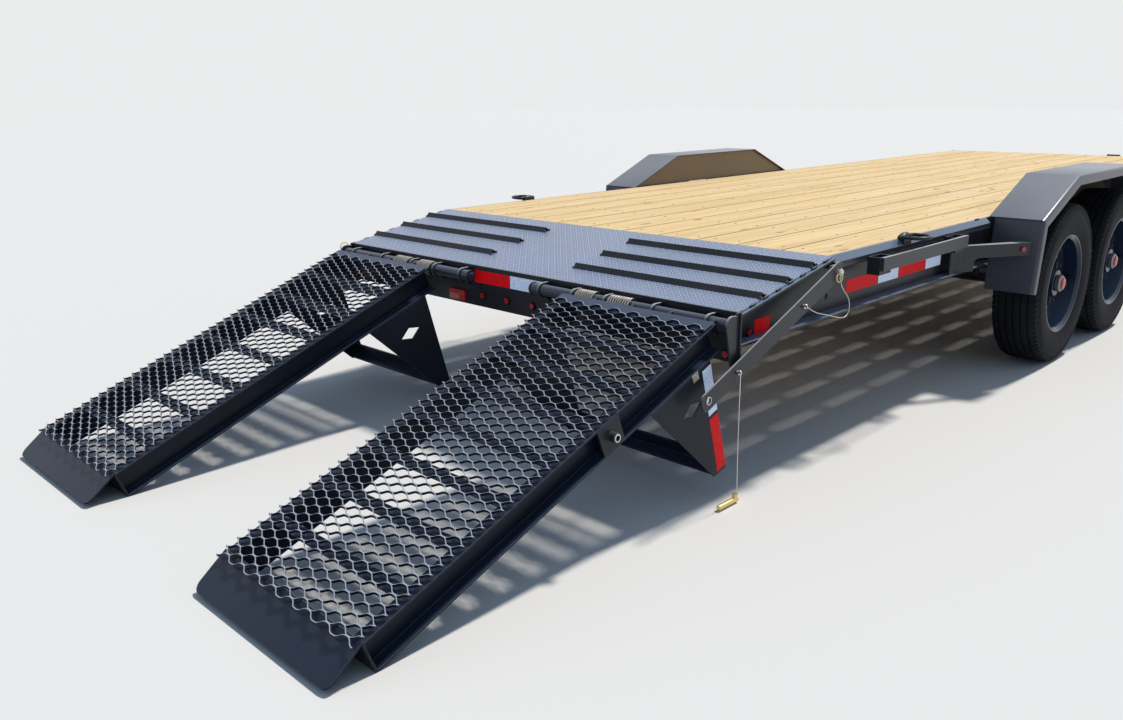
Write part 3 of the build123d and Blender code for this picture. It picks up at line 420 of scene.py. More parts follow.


# The sheen values paint a reflection of the sky into the base colour of faces that look up, tinted by the
# sky colour; the glint values paint a highlight on edges. The blue cast of the ramp, mesh and wheel bases
# is partly a painted sky reflection too.
black_paint = painted(
    "black_paint", (0.012, 0.014, 0.020), 0.36, 0.12, 0.30, edge=0.0024, painted_sheen=0.03, painted_glint=0.7,
)
beam_paint = painted(
    "beam_paint", (0.016, 0.018, 0.024), 0.36, 0.18, 0.20, edge=0.0024, painted_sheen=0.55, painted_glint=0.6,
)
# The fender's dark base with a strong sheen paints its faces that look up lighter than its upright faces:
# painted light and shade.
fender_paint = painted(
    "fender_paint", (0.032, 0.036, 0.052), 0.34, 0.45, 0.28, 0.0008, 0.004, 0.26, painted_sheen=0.26,
    sky=(0.29, 0.34, 0.46),
)
# The tan of the fender's inner wall is painted light: the boards' reflection and bounced light.
wall_board_reflection = painted("wall_board_reflection", (0.19, 0.145, 0.092), 0.36, 0.6, 0.25, 0.0008, 0.002, 0.26)
ramp_paint = painted(
    "ramp_paint", (0.006, 0.010, 0.021), 0.34, 0.03, 0.06, edge=0.0022, coat_rough=0.30, painted_sheen=0.07,
    painted_glint=0.7, sky=(0.18, 0.32, 0.62),
)
# The head plate's light blue is a painted reflection of the sky.
head_sky_reflection = painted("head_sky_reflection", (0.045, 0.064, 0.115), 0.34, 0.08, 0.14, edge=0.0)
pipe_paint = painted("pipe_paint", (0.028, 0.034, 0.050), 0.34, 0.35, 0.15, painted_sheen=0.14)
mesh_paint = painted("mesh_paint", (0.009, 0.016, 0.036), 0.32, 0.25, 0.10, 0.0003, 0.0009, wear_and_highlight=0.72)
wheel_paint = painted("wheel_paint", (0.005, 0.012, 0.034), 0.20, 0.30, 0.20, coat_rough=0.12, painted_sheen=0.25)
spring_paint = painted("spring_paint", (0.045, 0.047, 0.052), 0.36, 0.3, 0.5, 0.0004, 0.0, 0.12)
# bar_paint's pale sky colour, strong sheen and strong glint paint bright highlights on the tops and edges
# of the lock bars and the other parts it dresses.
bar_paint = painted(
    "bar_paint", (0.026, 0.028, 0.034), 0.36, 0.30, 0.20, edge=0.0034, coat_rough=0.30, painted_sheen=0.85,
    painted_glint=1.2, sky=(0.46, 0.47, 0.47),
)
print("paints", black_paint.name, fender_paint.name, ramp_paint.name)

# %% [markdown]
# ## Tread plate
# The sloping tail is floor plate: steel rolled with short raised lugs that lie crosswise to each other,
# so that feet and tyres grip. Thousands of lugs as mesh would be heavy, so a node group draws them as a
# height: each cell of a chequer holds one long ellipse, turned one way on the black cells and the other
# way on the white ones.

# %% Tread plate material
lug_pitch = 0.0165
lug_group, given, result = new_group("tread_lugs", "Vector", {"Pitch": 0.02}, "Height")
axes = add_node(lug_group, "SeparateXYZ", {0: given["Vector"]}).outputs
cell = [math_node(lug_group, "DIVIDE", axes[axis], given["Pitch"]) for axis in ("X", "Y")]
whole = [math_node(lug_group, "FLOOR", value) for value in cell]
part = [math_node(lug_group, "SUBTRACT", math_node(lug_group, "FRACT", value), 0.5) for value in cell]
odd = math_node(lug_group, "PINGPONG", math_node(lug_group, "ADD", *whole), 1.0)
turned = scaled(lug_group, part[1], scaled(lug_group, odd, 2.0, -1.0))
shares = [
    math_node(lug_group, "DIVIDE", math_node(lug_group, way, part[0], turned), half)
    for way, half in (("ADD", 0.72), ("SUBTRACT", 0.20))
]
squares = [scaled(lug_group, share, share) for share in shares]
rise = math_node(lug_group, "SUBTRACT", 1.0, math_node(lug_group, "ADD", *squares))
lug_group.links.new(math_node(lug_group, "SMOOTH_MAX", rise, 0.0, 0.2), result)

tread_plate, tree, shader = new_finish("tread_plate")
place = object_place(tree)
lugs = use_group(tree, lug_group, Vector=place, Pitch=lug_pitch)
settled = use_group(tree, dust_group, Vector=place, Up=facing_up(tree), Amount=0.55)
clouds = noise_node(tree, place, 4.0, 6.0)
# The plate's pale blue tone is partly a painted sky reflection, and the lug tops are painted lighter and
# bluer as a painted highlight.
plate_tone = mix_colour(tree, clouds, (0.115, 0.158, 0.275), (0.185, 0.242, 0.385))
lit_lug_tone = mix_colour(tree, scaled(tree, lugs, 1.3), plate_tone, (0.60, 0.73, 0.98))
feed(tree, shader, {
    "Base Color": mix_colour(tree, settled, lit_lug_tone, (0.36, 0.36, 0.35)),
    "Roughness": scaled(tree, settled, 0.35, 0.30),
    "Coat Weight": 0.12, "Coat Roughness": 0.24,
    "Normal": bump(tree, lugs, 0.0035, 1.0, edge_normal(tree, 0.001)),
})
print("lug pitch", round(1000 * lug_pitch, 1), "mm")

# %% [markdown]
# ## Sawn boards
# The deck is fresh yellow pine. One material serves all eleven boards: the place across the deck gives
# each board a number, and that number shifts its grain and its tone. Long narrow noise makes the grain, a
# Voronoi pattern with few cells makes the knots, and the dark lines are the real gaps between the boards.

# %% Board material
board_pitch = 0.1916
board_wood, tree, shader = new_finish("board_wood")
place = object_place(tree)
axes = add_node(tree, "SeparateXYZ", {0: place}).outputs
number = math_node(tree, "DIVIDE", math_node(tree, "ADD", axes["Y"], 1.0538), board_pitch)
number = math_node(tree, "FLOOR", number)
chance = add_node(tree, "TexWhiteNoise", {"W": number}, noise_dimensions="1D").outputs["Value"]
shifted = add_node(tree, "CombineXYZ", {
    "X": scaled(tree, number, 3.7, axes["X"]),
    "Y": scaled(tree, number, 1.3, axes["Y"]),
    "Z": axes["Z"],
}).outputs[0]
cells = add_node(tree, "TexVoronoi", {"Vector": stretch(tree, shifted, (2.6, 9.0, 2.0)), "Scale": 1.0})
knot = ramp_node(tree, cells.outputs["Distance"], [(0.0, 1), (0.075, 0.85), (0.13, 0)])
swirl = ramp_node(tree, cells.outputs["Distance"], [(0.0, 1), (0.42, 0)])
pushed = {0: swirl, 1: (0.0, 0.035, 0.0), 2: shifted}
bent = add_node(tree, "VectorMath", pushed, operation="MULTIPLY_ADD").outputs[0]
rings = noise_node(tree, stretch(tree, bent, (0.9, 34.0, 12.0)), 1.0, 5.0, 0.62)
fibres = noise_node(tree, stretch(tree, bent, (7.0, 420.0, 160.0)), 1.0, 3.0, 0.6)
clouds = noise_node(tree, stretch(tree, shifted, (1.2, 5.0, 2.0)), 1.0, 3.0)
pine = ramp_node(tree, rings, [
    (0.28, (0.53, 0.33, 0.13)), (0.44, (0.72, 0.49, 0.22)), (0.56, (0.82, 0.60, 0.30)),
    (0.74, (0.89, 0.68, 0.38)),
])
for source, gain, start, colour in (
    (chance, 0.30, 0.0, (0.60, 0.42, 0.22)), (clouds, 0.6, -0.18, (0.87, 0.70, 0.45)),
    (fibres, -0.55, 0.42, (0.45, 0.28, 0.12)), (knot, 0.85, 0.0, (0.23, 0.12, 0.05)),
):
    pine = mix_colour(tree, scaled(tree, source, gain, start), pine, colour)
grain = scaled(tree, fibres, 0.4, rings)
feed(tree, shader, {
    "Base Color": pine, "Roughness": 0.78, "Specular IOR Level": 0.35,
    "Normal": bump(tree, grain, 0.0012, 0.5, edge_normal(tree, 0.0025)),
})
print("boards", round(2.1 / board_pitch))

# %% [markdown]
# ## Rubber, lenses, tape and bright metal
# The small finishes: matt rubber with a dusty tread, red lamp lenses with fine prisms, reflective tape,
# zinc-plated bolts and wire, and a yellow-plated clip. Real tape looks brighter than paint of its colour,
# because its prisms send light straight back; a little emission in its own colour stands for that.

# %% Small finishes
def rubber_finish(name, colour):
    """Tyre rubber: near black, matt, with dust that gathers unevenly."""
    material, tree, shader = new_finish(name)
    place = object_place(tree)
    patches = noise_node(tree, place, 7.0, 6.0, 0.6)
    dusty = ramp_node(tree, patches, [(0.42, 0), (0.8, 1)])
    feed(tree, shader, {
        "Base Color": mix_colour(tree, dusty, colour, (0.019, 0.020, 0.023)),
        "Roughness": scaled(tree, patches, 0.3, 0.50),
        "Specular IOR Level": 0.08,
        "Normal": bump(tree, noise_node(tree, place, 300.0, 2.0), 0.0003, 0.6),
    })
    return material


def lens_finish(name, colour, prisms, coat, rough, glow_strength=0.0):
    """Clear moulded plastic with prisms in a grid; tape also glows in its own colour for light sent back.
    """
    material, tree, shader = new_finish(name)
    pattern = {"Vector": object_place(tree), "Scale": prisms}
    waves = add_node(tree, "TexVoronoi", pattern).outputs["Distance"]
    feed(tree, shader, {
        "Base Color": mix_colour(tree, waves, colour, shade(colour, 0.45)), "Roughness": rough,
        "Coat Weight": coat, "Coat Roughness": 0.05, "Normal": bump(tree, waves, 0.0008, 0.5),
    })
    if glow_strength:
        full = tuple(c ** 1.6 for c in colour)
        feed(tree, shader, {
            "Emission Color": mix_colour(tree, waves, full, shade(full, 0.6)),
            "Emission Strength": glow_strength, "Specular IOR Level": 0.15,
        })
    return material


def metal_finish(name, dull, bright, rough):
    """Plated steel with cloudy brightness."""
    material, tree, shader = new_finish(name)
    clouds = noise_node(tree, object_place(tree), 60.0, 4.0)
    feed(tree, shader, {
        "Base Color": mix_colour(tree, clouds, dull, bright), "Metallic": 1.0,
        "Roughness": scaled(tree, clouds, 0.25, rough),
        "Normal": bump(tree, clouds, 0.0003, 0.4),
    })
    return material


tyre_rubber = rubber_finish("tyre_rubber", (0.008, 0.0095, 0.0140))
red_lens = lens_finish("red_lens", (0.60, 0.010, 0.014), 520.0, 0.5, 0.24)
red_tape = lens_finish("red_tape", (0.74, 0.004, 0.010), 260.0, 0.0, 0.5, 0.30)
white_tape = lens_finish("white_tape", (0.66, 0.76, 0.93), 260.0, 0.10, 0.40, 0.36)
cream_plate = lens_finish("cream_plate", (0.62, 0.56, 0.42), 90.0, 0.3, 0.4)
zinc_plate = metal_finish("zinc_plate", (0.50, 0.50, 0.50), (0.78, 0.78, 0.76), 0.22)
yellow_zinc = metal_finish("yellow_zinc", (0.60, 0.46, 0.18), (0.85, 0.70, 0.34), 0.25)
coil_steel = metal_finish("coil_steel", (0.20, 0.195, 0.19), (0.46, 0.44, 0.42), 0.24)
hub_metal = metal_finish("hub_metal", (0.14, 0.14, 0.15), (0.30, 0.30, 0.31), 0.32)
print("small finishes", red_lens.name, zinc_plate.name)

# %% [markdown]
# ## Dress the CAD pieces
# Each CAD piece keeps its shape and takes a finish by name. A table of name beginnings keeps this short:
# the first row with a beginning that fits a piece's name gives its finish.

# %% Finishes of the CAD pieces
finish_table = (
    (tread_plate, "tail_plate"), (board_wood, "deck_boards"), (red_lens, "tail_lamps"),
    (fender_paint, "fender_left", "fender_right"), (beam_paint, "side_beam", "edge_strips"),
    (mesh_paint, "ramp_mesh"), (ramp_paint, "ramp"), (pipe_paint, "hinge_pipe"),
    (bar_paint, "lock_bar", "hinge_lugs", "hinge_ears", "rub_rails", "fender_arms"),
    (zinc_plate, "lock_pivots", "jack_leg", "loop_rope", "pin_rope"),
    (spring_paint, "torsion_springs", "leaf_springs"), (tyre_rubber, "tyre"), (wheel_paint, "wheel"),
    (yellow_zinc, "ground_pin"), (black_paint, ""),
)
for name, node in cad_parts.items():
    finish = next(row[0] for row in finish_table if name.startswith(row[1:]))
    for place_in_list in node.material_slots:
        place_in_list.material = finish
for rope in (loop_rope, drop_rope):
    rope.data.materials.append(zinc_plate)
print("dressed", len(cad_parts), "CAD pieces")

# %% [markdown]
# ## Mesh helpers
# New pieces are skins: a stack of rings of points, joined by quads. These helpers join rings into faces,
# close the ends, carry a circle along a path or a profile round an axis, and put the arrays into a mesh.
# A piece knows its body, so that it moves with the right part.

# %% Skins and pieces
def columns(*parts):
    """Arrays side by side in a last axis, as places from their x, y and z."""
    return np.stack(np.broadcast_arrays(*parts), axis=-1)


def skin_faces(bars, rings, corners, closed=False):
    """Quads of several equal bars, each a stack of rings, with its ends capped, or joined if closed."""
    steps = rings if closed else rings - 1
    bar, ring, corner = np.meshgrid(np.arange(bars), np.arange(steps), np.arange(corners), indexing="ij")
    near = (bar * rings + ring) * corners
    far = (bar * rings + (ring + 1) % rings) * corners
    beside = (corner + 1) % corners
    walls = columns(near + corner, near + beside, far + beside, far + corner).reshape(-1, 4).tolist()
    if closed:
        return walls
    first = np.arange(bars)[:, None] * rings * corners + np.arange(corners)
    return walls + first[:, ::-1].tolist() + (first + (rings - 1) * corners).tolist()


def skin(rings, closed=False):
    """One stack of rings as a shape, which is a pair of points and faces."""
    return rings, skin_faces(1, len(rings), len(rings[0]), closed)


def join_skins(shapes):
    """Several shapes as one; the faces of each count on from the points before."""
    points, faces, start = [], [], 0
    for some_points, some_faces in shapes:
        some_points = np.asarray(some_points).reshape(-1, 3)
        points.append(some_points)
        faces += [[start + corner for corner in face] for face in some_faces]
        start += len(some_points)
    return np.concatenate(points), faces


def add_piece(name, shape, material, body, smooth=40.0):
    """A mesh piece from a shape, with outward faces, smooth below an angle, riding on a body."""
    points, faces = shape
    mesh = bpy.data.meshes.new(name)
    mesh.from_pydata(np.asarray(points).reshape(-1, 3).tolist(), [], faces)
    work = bmesh.new()
    work.from_mesh(mesh)
    bmesh.ops.recalc_face_normals(work, faces=work.faces)
    work.to_mesh(mesh)
    work.free()
    if smooth:
        mesh.polygons.foreach_set("use_smooth", np.ones(len(mesh.polygons), dtype=bool))
        mesh.set_sharp_from_angle(angle=np.radians(smooth))
    mesh.materials.append(material)
    piece = new_object(name, mesh)
    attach(piece, body)
    return piece


print("pieces can be made")

# %% Tubes, turned shapes and slopes
def unit(vectors):
    """Vectors brought to length one."""
    return vectors / np.linalg.norm(vectors, axis=-1, keepdims=True)


def full_turn(count):
    """Angles spread evenly over one turn."""
    return np.linspace(0, 2 * np.pi, count, endpoint=False)


def circle_round(axis, corners):
    """A circle of radius one round an axis: side cos(angle) + up sin(angle), both square to the axis."""
    side = unit(np.cross(axis, (0.0, 0.0, 1.0) if abs(axis[2]) < 0.9 else (1.0, 0.0, 0.0)))
    angle = full_turn(corners)[:, None]
    return np.cos(angle) * side + np.sin(angle) * np.cross(axis, side)


def tube(path, radius, corners, flat=(0.0, 1.0, 0.0), closed=False):
    """Circles square to a path: path + radius (side cos + up sin), with side square to path and flat."""
    path = np.asarray(path, dtype=float)
    ahead = np.roll(path, -1, axis=0) - np.roll(path, 1, axis=0) if closed else np.gradient(path, axis=0)
    along = unit(ahead)
    side = unit(np.cross(along, flat))
    angle = full_turn(corners)[:, None]
    circle = np.cos(angle) * side[:, None] + np.sin(angle) * np.cross(side, along)[:, None]
    return skin(path[:, None] + np.reshape(radius, (-1, 1, 1)) * circle, closed)


def ring_tube(centre, out, radius, thickness, corners=28):
    """A closed ring of round section round an axis."""
    path = np.asarray(centre) + radius * circle_round(out, corners)
    return tube(path, thickness, 8, out, closed=True)


def lathe(profile, centre, axis, corners, closed=False):
    """A turned shape: (distance along the axis, radius) pairs carried round the axis from a centre."""
    axis = unit(np.asarray(axis, dtype=float))
    distance, radius = np.asarray(profile, dtype=float).T[..., None, None]
    return skin(np.asarray(centre) + distance * axis + radius * circle_round(axis, corners), closed)


def on_slope(start_x, start_z, slope, along, y, lift):
    """Places on a slope falling to the rear: (x, z) = start - along (cos, sin) + lift (-sin, cos)."""
    x = start_x - along * np.cos(slope) - lift * np.sin(slope)
    z = start_z - along * np.sin(slope) + lift * np.cos(slope)
    return columns(x, y, z)


def on_ramp(along, y, lift):
    """Ramp places to trailer places: down the ramp from the hinge, across, and square up from it."""
    return on_slope(hinge_x, hinge_z, ramp_pitch, along, y, lift)


def on_tail(along, y, lift):
    """Tail places to trailer places: down the tail from the boards, across, and square up from it."""
    return on_slope(deck_x, deck_z, tail_slope, along, y, lift)


print("shapes can be made")

# %% [markdown]
# ## Expanded-metal mesh
# The ramps are floored with raised expanded metal: a sheet that is slit and pulled, so that each strand
# stands almost on edge and runs in a zigzag from bond to bond. One strand is a tilted flat bar carried
# along a rounded zigzag, and a ramp has 79 of them, each shifted by half a diamond. This keeps the tilt
# that makes real mesh grip. A mark on the strands' top faces paints them pale: worn paint, and a painted
# highlight where the light would catch them. The last strands lie over the bent tip plate, as they do on
# the real ramp, and throw a wavy shadow on it.

# %% Mesh strands
strand_pitch, strand_lift = 0.0178, 0.0408
mesh_start, mesh_end = 0.0812, 1.488
sheet_inner_y, sheet_outer_y = ramp_inner_y + 0.002, ramp_outer_y - 0.002
diamonds, samples = 8, 14
diamond = (ramp_outer_y - ramp_inner_y) / diamonds
strands = int((mesh_end - mesh_start) / strand_pitch)
strand_width, strand_thick, strand_tilt = 0.0072, 0.0032, np.radians(76)


def zigzag(phase):
    """A zigzag with round corners and short flats: 1.12 cos(phase) - 0.12 cos(3 phase), from -1 to 1."""
    return 1.12 * np.cos(phase) - 0.12 * np.cos(3 * phase)


def mesh_of_ramp(side):
    """Points of all strands, by bar, sample and corner: along = start + pitch (row + 1/2) + zigzag."""
    across = np.linspace(sheet_inner_y, sheet_outer_y, diamonds * samples + 1)
    row = np.arange(strands)[:, None]
    swing = zigzag(2 * np.pi * (across[None] - ramp_inner_y) / diamond + np.pi * (row % 2))
    along = mesh_start + strand_pitch * (row + 0.5) + swing * (strand_pitch / 2 - 0.0014)
    lift = strand_lift - swing * 0.0016
    wide, thick = np.array([(-1, 1, 1, -1), (-1, -1, 1, 1)]) * ((strand_width / 2,), (strand_thick / 2,))
    along_corner = -wide * np.cos(strand_tilt) + thick * np.sin(strand_tilt)
    lift_corner = wide * np.sin(strand_tilt) + thick * np.cos(strand_tilt)
    y = side * across[None, :, None]
    return on_ramp(along[..., None] + along_corner, y, lift[..., None] + lift_corner)


for name, side in sides.items():
    bars = mesh_of_ramp(side)
    shape = bars, skin_faces(strands, bars.shape[1], 4)
    piece = add_piece(f"expanded_mesh_{name}", shape, mesh_paint, f"ramp_{name}", 50)
    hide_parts(f"ramp_mesh_{name}")
    # The top faces of the strands are marked, to be painted pale: worn paint and a painted highlight.
    wear_and_highlight = np.zeros(len(piece.data.polygons))
    wear_and_highlight[1:strands * (bars.shape[1] - 1) * 4:4] = 1.0
    piece.data.attributes.new("wear_and_highlight_edge", "FLOAT", "FACE").data.foreach_set("value", wear_and_highlight)
    print("mesh", name, "strands", strands, "faces", len(piece.data.polygons))

# %% [markdown]
# ## Head plates
# Between the hinge pipe and the mesh, each ramp has a flat plate that mirrors the sky and looks bluer
# than the rest of the ramp. That sky reflection is painted into the colour of a skin half a millimetre
# thick, laid on the CAD plate, because only this face has that look.

# %% Skins on the head plates
head_start, head_end, head_back, head_face = 0.0450, 0.0985, 0.0371, 0.0376
for name, side in sides.items():
    flat = rectangle(head_start, head_end, sheet_inner_y, sheet_outer_y)
    cover = skin([[on_ramp(along, side * y, lift) for along, y in flat] for lift in (head_back, head_face)])
    add_piece(f"ramp_head_{name}", cover, head_sky_reflection, f"ramp_{name}", 0)
print("head plates", len(sides))

# %% [markdown]
# ## Torsion springs
# Two coils on each hinge pipe take the ramp's weight, so that one person can lift it. A coil is a tube
# along a helix: the angle grows evenly and the place across grows with it. Each ends in a straight leg
# that bears on the rear channel.

# %% Spring coils
wire, coil_radius, leg_reach = 0.0034, 0.0276, 0.042
steps_per_turn = 22


def spring_coil(start_y, width, turns, side):
    """A tube round the hinge pipe: x and z are radius (sin, -cos) of an angle that grows evenly with y.

    A straight leg runs forward from its first end.
    """
    angle = np.linspace(0, 2 * np.pi * turns, int(turns * steps_per_turn) + 1)
    y = start_y + wire + (width - 2 * wire) * angle / angle[-1]
    x, z = hinge_x + coil_radius * np.sin(angle), hinge_z - coil_radius * np.cos(angle)
    coil = columns(x, side * y, z)
    leg = coil[0] + np.linspace(leg_reach, 0.006, 6)[:-1, None] * (1, 0, 0)
    return tube(np.concatenate([leg, coil]), wire, 8)


coil_table = ((0.4145, 0.091, 8.0), (0.5675, 0.104, 9.0))
coils = [spring_coil(*row, side) for side in sides.values() for row in coil_table]
springs = add_piece("spring_coils", join_skins(coils), coil_steel, "frame")
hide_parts("torsion_springs")
print("spring faces", len(springs.data.polygons))

# %% [markdown]
# ## Tyres
# A trailer tyre is a turned shape with a pattern round it. The profile is a list of places across and
# radii, the tread is cut by five straight grooves, the shoulders have a row of short notches, and fine
# ribs ring the sidewall. The radius at each angle is the profile less the depth of the pattern there.

# %% Tyres with ribs and shoulder notches
groove_places = np.array([-0.064, -0.032, 0.0, 0.032, 0.064])
crown_half, widest_half, widest_radius = 0.083, 0.1052, 0.307
notches, steps_each = 84, 6
groove_depth, notch_depth, rib_depth, cut_depth, rib_pitch = 0.009, 0.008, 0.0018, 0.0022, 0.0098


def tyre_profile():
    """Half sections joined: crown with groove edges, shoulder, bulged sidewall and bead under the rim.

    The crown's radius falls with the square of y, the shoulder is a quarter of an ellipse, and the wall's
    half width falls with the square of the distance from the widest radius.
    """
    edges = groove_places[:, None] + np.array([-0.0042, -0.0030, 0.0030, 0.0042])
    lands = (groove_places[1:] + groove_places[:-1]) / 2
    crown = np.sort(np.concatenate([edges.ravel(), lands, [-crown_half, -0.076, 0.076, crown_half]]))
    crown_radius = 0.3833 - 0.0035 * (crown / crown_half) ** 2
    turn = np.linspace(0, np.pi / 2, 6)[1:]
    shoulder = columns(crown_half + 0.0165 * np.sin(turn), 0.3798 - 0.016 * (1 - np.cos(turn)))
    wall_radius = np.linspace(0.360, 0.2375, 26)
    past = wall_radius - widest_radius
    drop = np.where(past > 0, 0.0057 * (past / 0.053) ** 2, 0.0085 * (past / 0.0695) ** 2)
    wall = columns(widest_half - drop, wall_radius)
    side = np.concatenate([shoulder, wall, [(0.0895, 0.2362), (0.0835, 0.2232)]])
    return np.concatenate([side[::-1] * (-1, 1), columns(crown, crown_radius), side])


def between(values, low, high):
    """Where values lie between two bounds."""
    return (values > low) & (values < high)


across, radius = tyre_profile().T[:, None]
spin = full_turn(notches * steps_each)[:, None]
in_groove = (np.min(np.abs(across - groove_places[:, None]), axis=0) < 0.0035) & (radius > 0.37)
on_shoulder = np.exp(-((np.abs(across) - 0.0915) / 0.0095) ** 4) * (radius > 0.352)
in_notch = (np.sin(notches * spin) > 0.55) * on_shoulder
ribs = rib_depth * (np.sin(radius * 2 * np.pi / rib_pitch) > 0.2) * between(radius, 0.326, 0.352)
cuts = cut_depth * (np.sin(2 * notches * spin) > 0) * between(radius, 0.3525, 0.3635)
tread_radius = radius - groove_depth * in_groove - notch_depth * in_notch
tread_across = np.sign(across) * (np.abs(across) - ribs - cuts)
for place, x in axle_x.items():
    for name, side in sides.items():
        turned_x, turned_z = x + tread_radius * np.sin(spin), wheel_z + tread_radius * np.cos(spin)
        shape = skin(columns(turned_x, side * wheel_y + tread_across, turned_z), closed=True)
        wheel = f"{place}_{name}"
        tyre = add_piece(f"tread_tyre_{wheel}", shape, tyre_rubber, f"wheel_{wheel}", 35)
        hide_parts(f"tyre_{wheel}")
print("tyre faces", len(tyre.data.polygons))

# %% [markdown]
# ## Wheel nuts, hub caps and valves
# Eight studs with hexagon nuts hold each dished wheel, and a pressed cap with a red rubber plug closes
# the hub. Nuts are turned shapes with six corners; the cap is a turned shape with many.

# %% Nuts, caps and valves
nut = [(0, 0), (0, 0.0165), (0.015, 0.0165), (0.018, 0.013), (0.018, 0.008), (0.030, 0.008), (0.030, 0)]
cap = [(0, 0), (0, 0.040), (0.016, 0.040), (0.022, 0.035), (0.024, 0.030), (0.024, 0)]
plug = [(0, 0), (0, 0.028), (0.005, 0.028), (0.008, 0.022), (0.009, 0)]
stud_angles = np.arange(8) * np.pi / 4 + 0.2
studs = 0.1225 * columns(np.sin(stud_angles), np.cos(stud_angles))
disc_y, cap_y, plug_y, valve_y = wheel_y + 0.0075, wheel_y + 0.064, wheel_y + 0.087, wheel_y + 0.016
for place, x in axle_x.items():
    for name, side in sides.items():
        wheel, out = f"{place}_{name}", (0, side, 0)
        nuts = [lathe(nut, (x + a, side * disc_y, wheel_z + b), out, 6) for a, b in studs]
        foot = np.array([x + 0.196, side * valve_y, wheel_z])
        stem = [foot, foot + (0.004, side * 0.02, 0), foot + (0.004, side * 0.045, 0)]
        for label, shape, finish, slot, smooth in (
            ("wheel_nuts", join_skins(nuts), spring_paint, "wheel_paint", 30),
            ("hub_cap", lathe(cap, (x, side * cap_y, wheel_z), out, 40), hub_metal, "zinc_plate", 30),
            ("hub_plug", lathe(plug, (x, side * plug_y, wheel_z), out, 32), red_lens, "red_lens", 30),
            ("valve", tube(stem, 0.0045, 10, (0, 0, 1)), tyre_rubber, "tyre_rubber", 40),
        ):
            add_piece(f"{label}_{wheel}", shape, finish, f"wheel_{wheel}", smooth)
print("nuts on each wheel", len(nuts))

# %% [markdown]
# ## Fenders
# A drive-over fender is one long plate bent four times over the wheels, with its outer edge folded down
# round a soft bend. The bend is what catches the light, and the CAD model leaves it square. Here a
# profile of plate, bend and lip is carried along the outline, and each ring at a corner lies in the plane
# that halves the corner. The inner wall beside the boards is a piece of its own, painted tan: the boards'
# reflection and bounced light, painted into its colour.

# %% Fenders with a rounded outer fold
fender_x = (axle_x["rear"] + axle_x["front"]) / 2
fender_out, fender_in, wall_in, wall_set, thick = wheel_y + 0.109, 1.080, 1.052, 0.016, 0.005
step_x, top_x, end_x = 0.845, 0.433, 0.887
outline = np.array([
    (-end_x, 0.403), (-step_x, 0.728), (-top_x, 0.897), (top_x, 0.897), (step_x, 0.728), (end_x, 0.403),
])


def fender_profile(inner):
    """Loop of (y, depth): along the top, round the outer bend, down the lip and back on the inside."""
    lip, bend = 0.045, 0.015
    arc = np.linspace(0, np.pi / 2, 7)
    outer, back = [
        columns(fender_out - bend + size * np.sin(arc), bend - size * np.cos(arc))
        for size in (bend, bend - thick)
    ]
    edge = [(fender_out, lip), (fender_out - thick, lip)]
    return np.concatenate([[(inner, 0.0)], outer, edge, back[::-1], [(inner, thick)]])


def fender_shell(side):
    """Rings at the outline's corners, each point moved in by its depth along the corner's mitre.

    The mitre is (before + after) / (1 + before . after) of the two inward normals. Two corners have two
    rings, because the plate's inner edge steps in there to the wall.
    """
    run = unit(np.diff(outline, axis=0))
    inward = columns(run[:, 1], -run[:, 0])
    before, after = inward[[0, 0, 1, 2, 3, 4]], inward[[0, 1, 2, 3, 4, 4]]
    mitre = (before + after) / (1 + np.sum(before * after, axis=1, keepdims=True))
    order = np.array([0, 1, 1, 2, 3, 4, 4, 5])
    shift = np.array([0, 0, 1, 0, 0, -1, 0, 0])[:, None] * 0.0008
    corner = outline[order] + shift * run[np.minimum(order, 3)]
    inner = np.where(np.array([1, 1, 0, 0, 0, 0, 1, 1]), fender_in, wall_in)
    loops = np.stack([fender_profile(value) for value in inner])
    flat = corner[:, None] + loops[:, :, 1, None] * mitre[order][:, None]
    return skin(columns(fender_x + flat[..., 0], side * loops[..., 0], flat[..., 1]))


def fender_side(side):
    """The flat inner wall under the raised part of the fender."""
    low = outline[1:5] + np.array([(0.004, 0.0005), (0.001, -0.002), (-0.001, -0.002), (-0.004, 0.0005)])
    places = (wall_in + wall_set, wall_in + wall_set + thick)
    return skin([[(fender_x + x, side * y, z) for x, z in low] for y in places])


for name, side in sides.items():
    parts = [fender_shell(side)]
    seam_y = side * np.linspace(fender_in + 0.004, fender_out - 0.012, 9)
    for end in (-step_x, step_x):
        parts.append(tube(columns(fender_x + end, seam_y, deck_z - 0.001), 0.0042, 8, (0, 0, 1)))
    shape = join_skins(parts)
    fender = add_piece(f"folded_fender_{name}", shape, fender_paint, "frame", 25)
    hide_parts(f"fender_{name}")
    # The inner wall's tan is painted reflected light from the boards.
    add_piece(f"fender_wall_{name}", fender_side(side), wall_board_reflection, "frame", 0)
print("fender faces", len(fender.data.polygons))

# %% [markdown]
# ## Reflective tape
# Law asks for red and white tape along the sides and the back of a trailer. A strip is a thin plate laid
# a fraction of a millimetre off the steel, given by its four corners on a flat face.

# %% Tape strips
def strip(corners, out):
    """A thin four-cornered plate whose back lies just off a face that looks along out."""
    return skin([np.asarray(corners) + height * np.asarray(out) for height in (0.0002, 0.0006)])


def side_strip(start, end, heights, side):
    """A strip on the side beam's web, from start to end ahead of the boards' rear ends."""
    flat = rectangle(deck_x + start, deck_x + end, *heights)
    return strip([(x, side * web_y, z) for x, z in flat], (0, side, 0))


def rear_strip(y0, y1):
    """A strip on the rear channel, which looks back."""
    return strip([(channel_x, y, z) for y, z in rectangle(y0, y1, *rear_heights)], (-1, 0, 0))


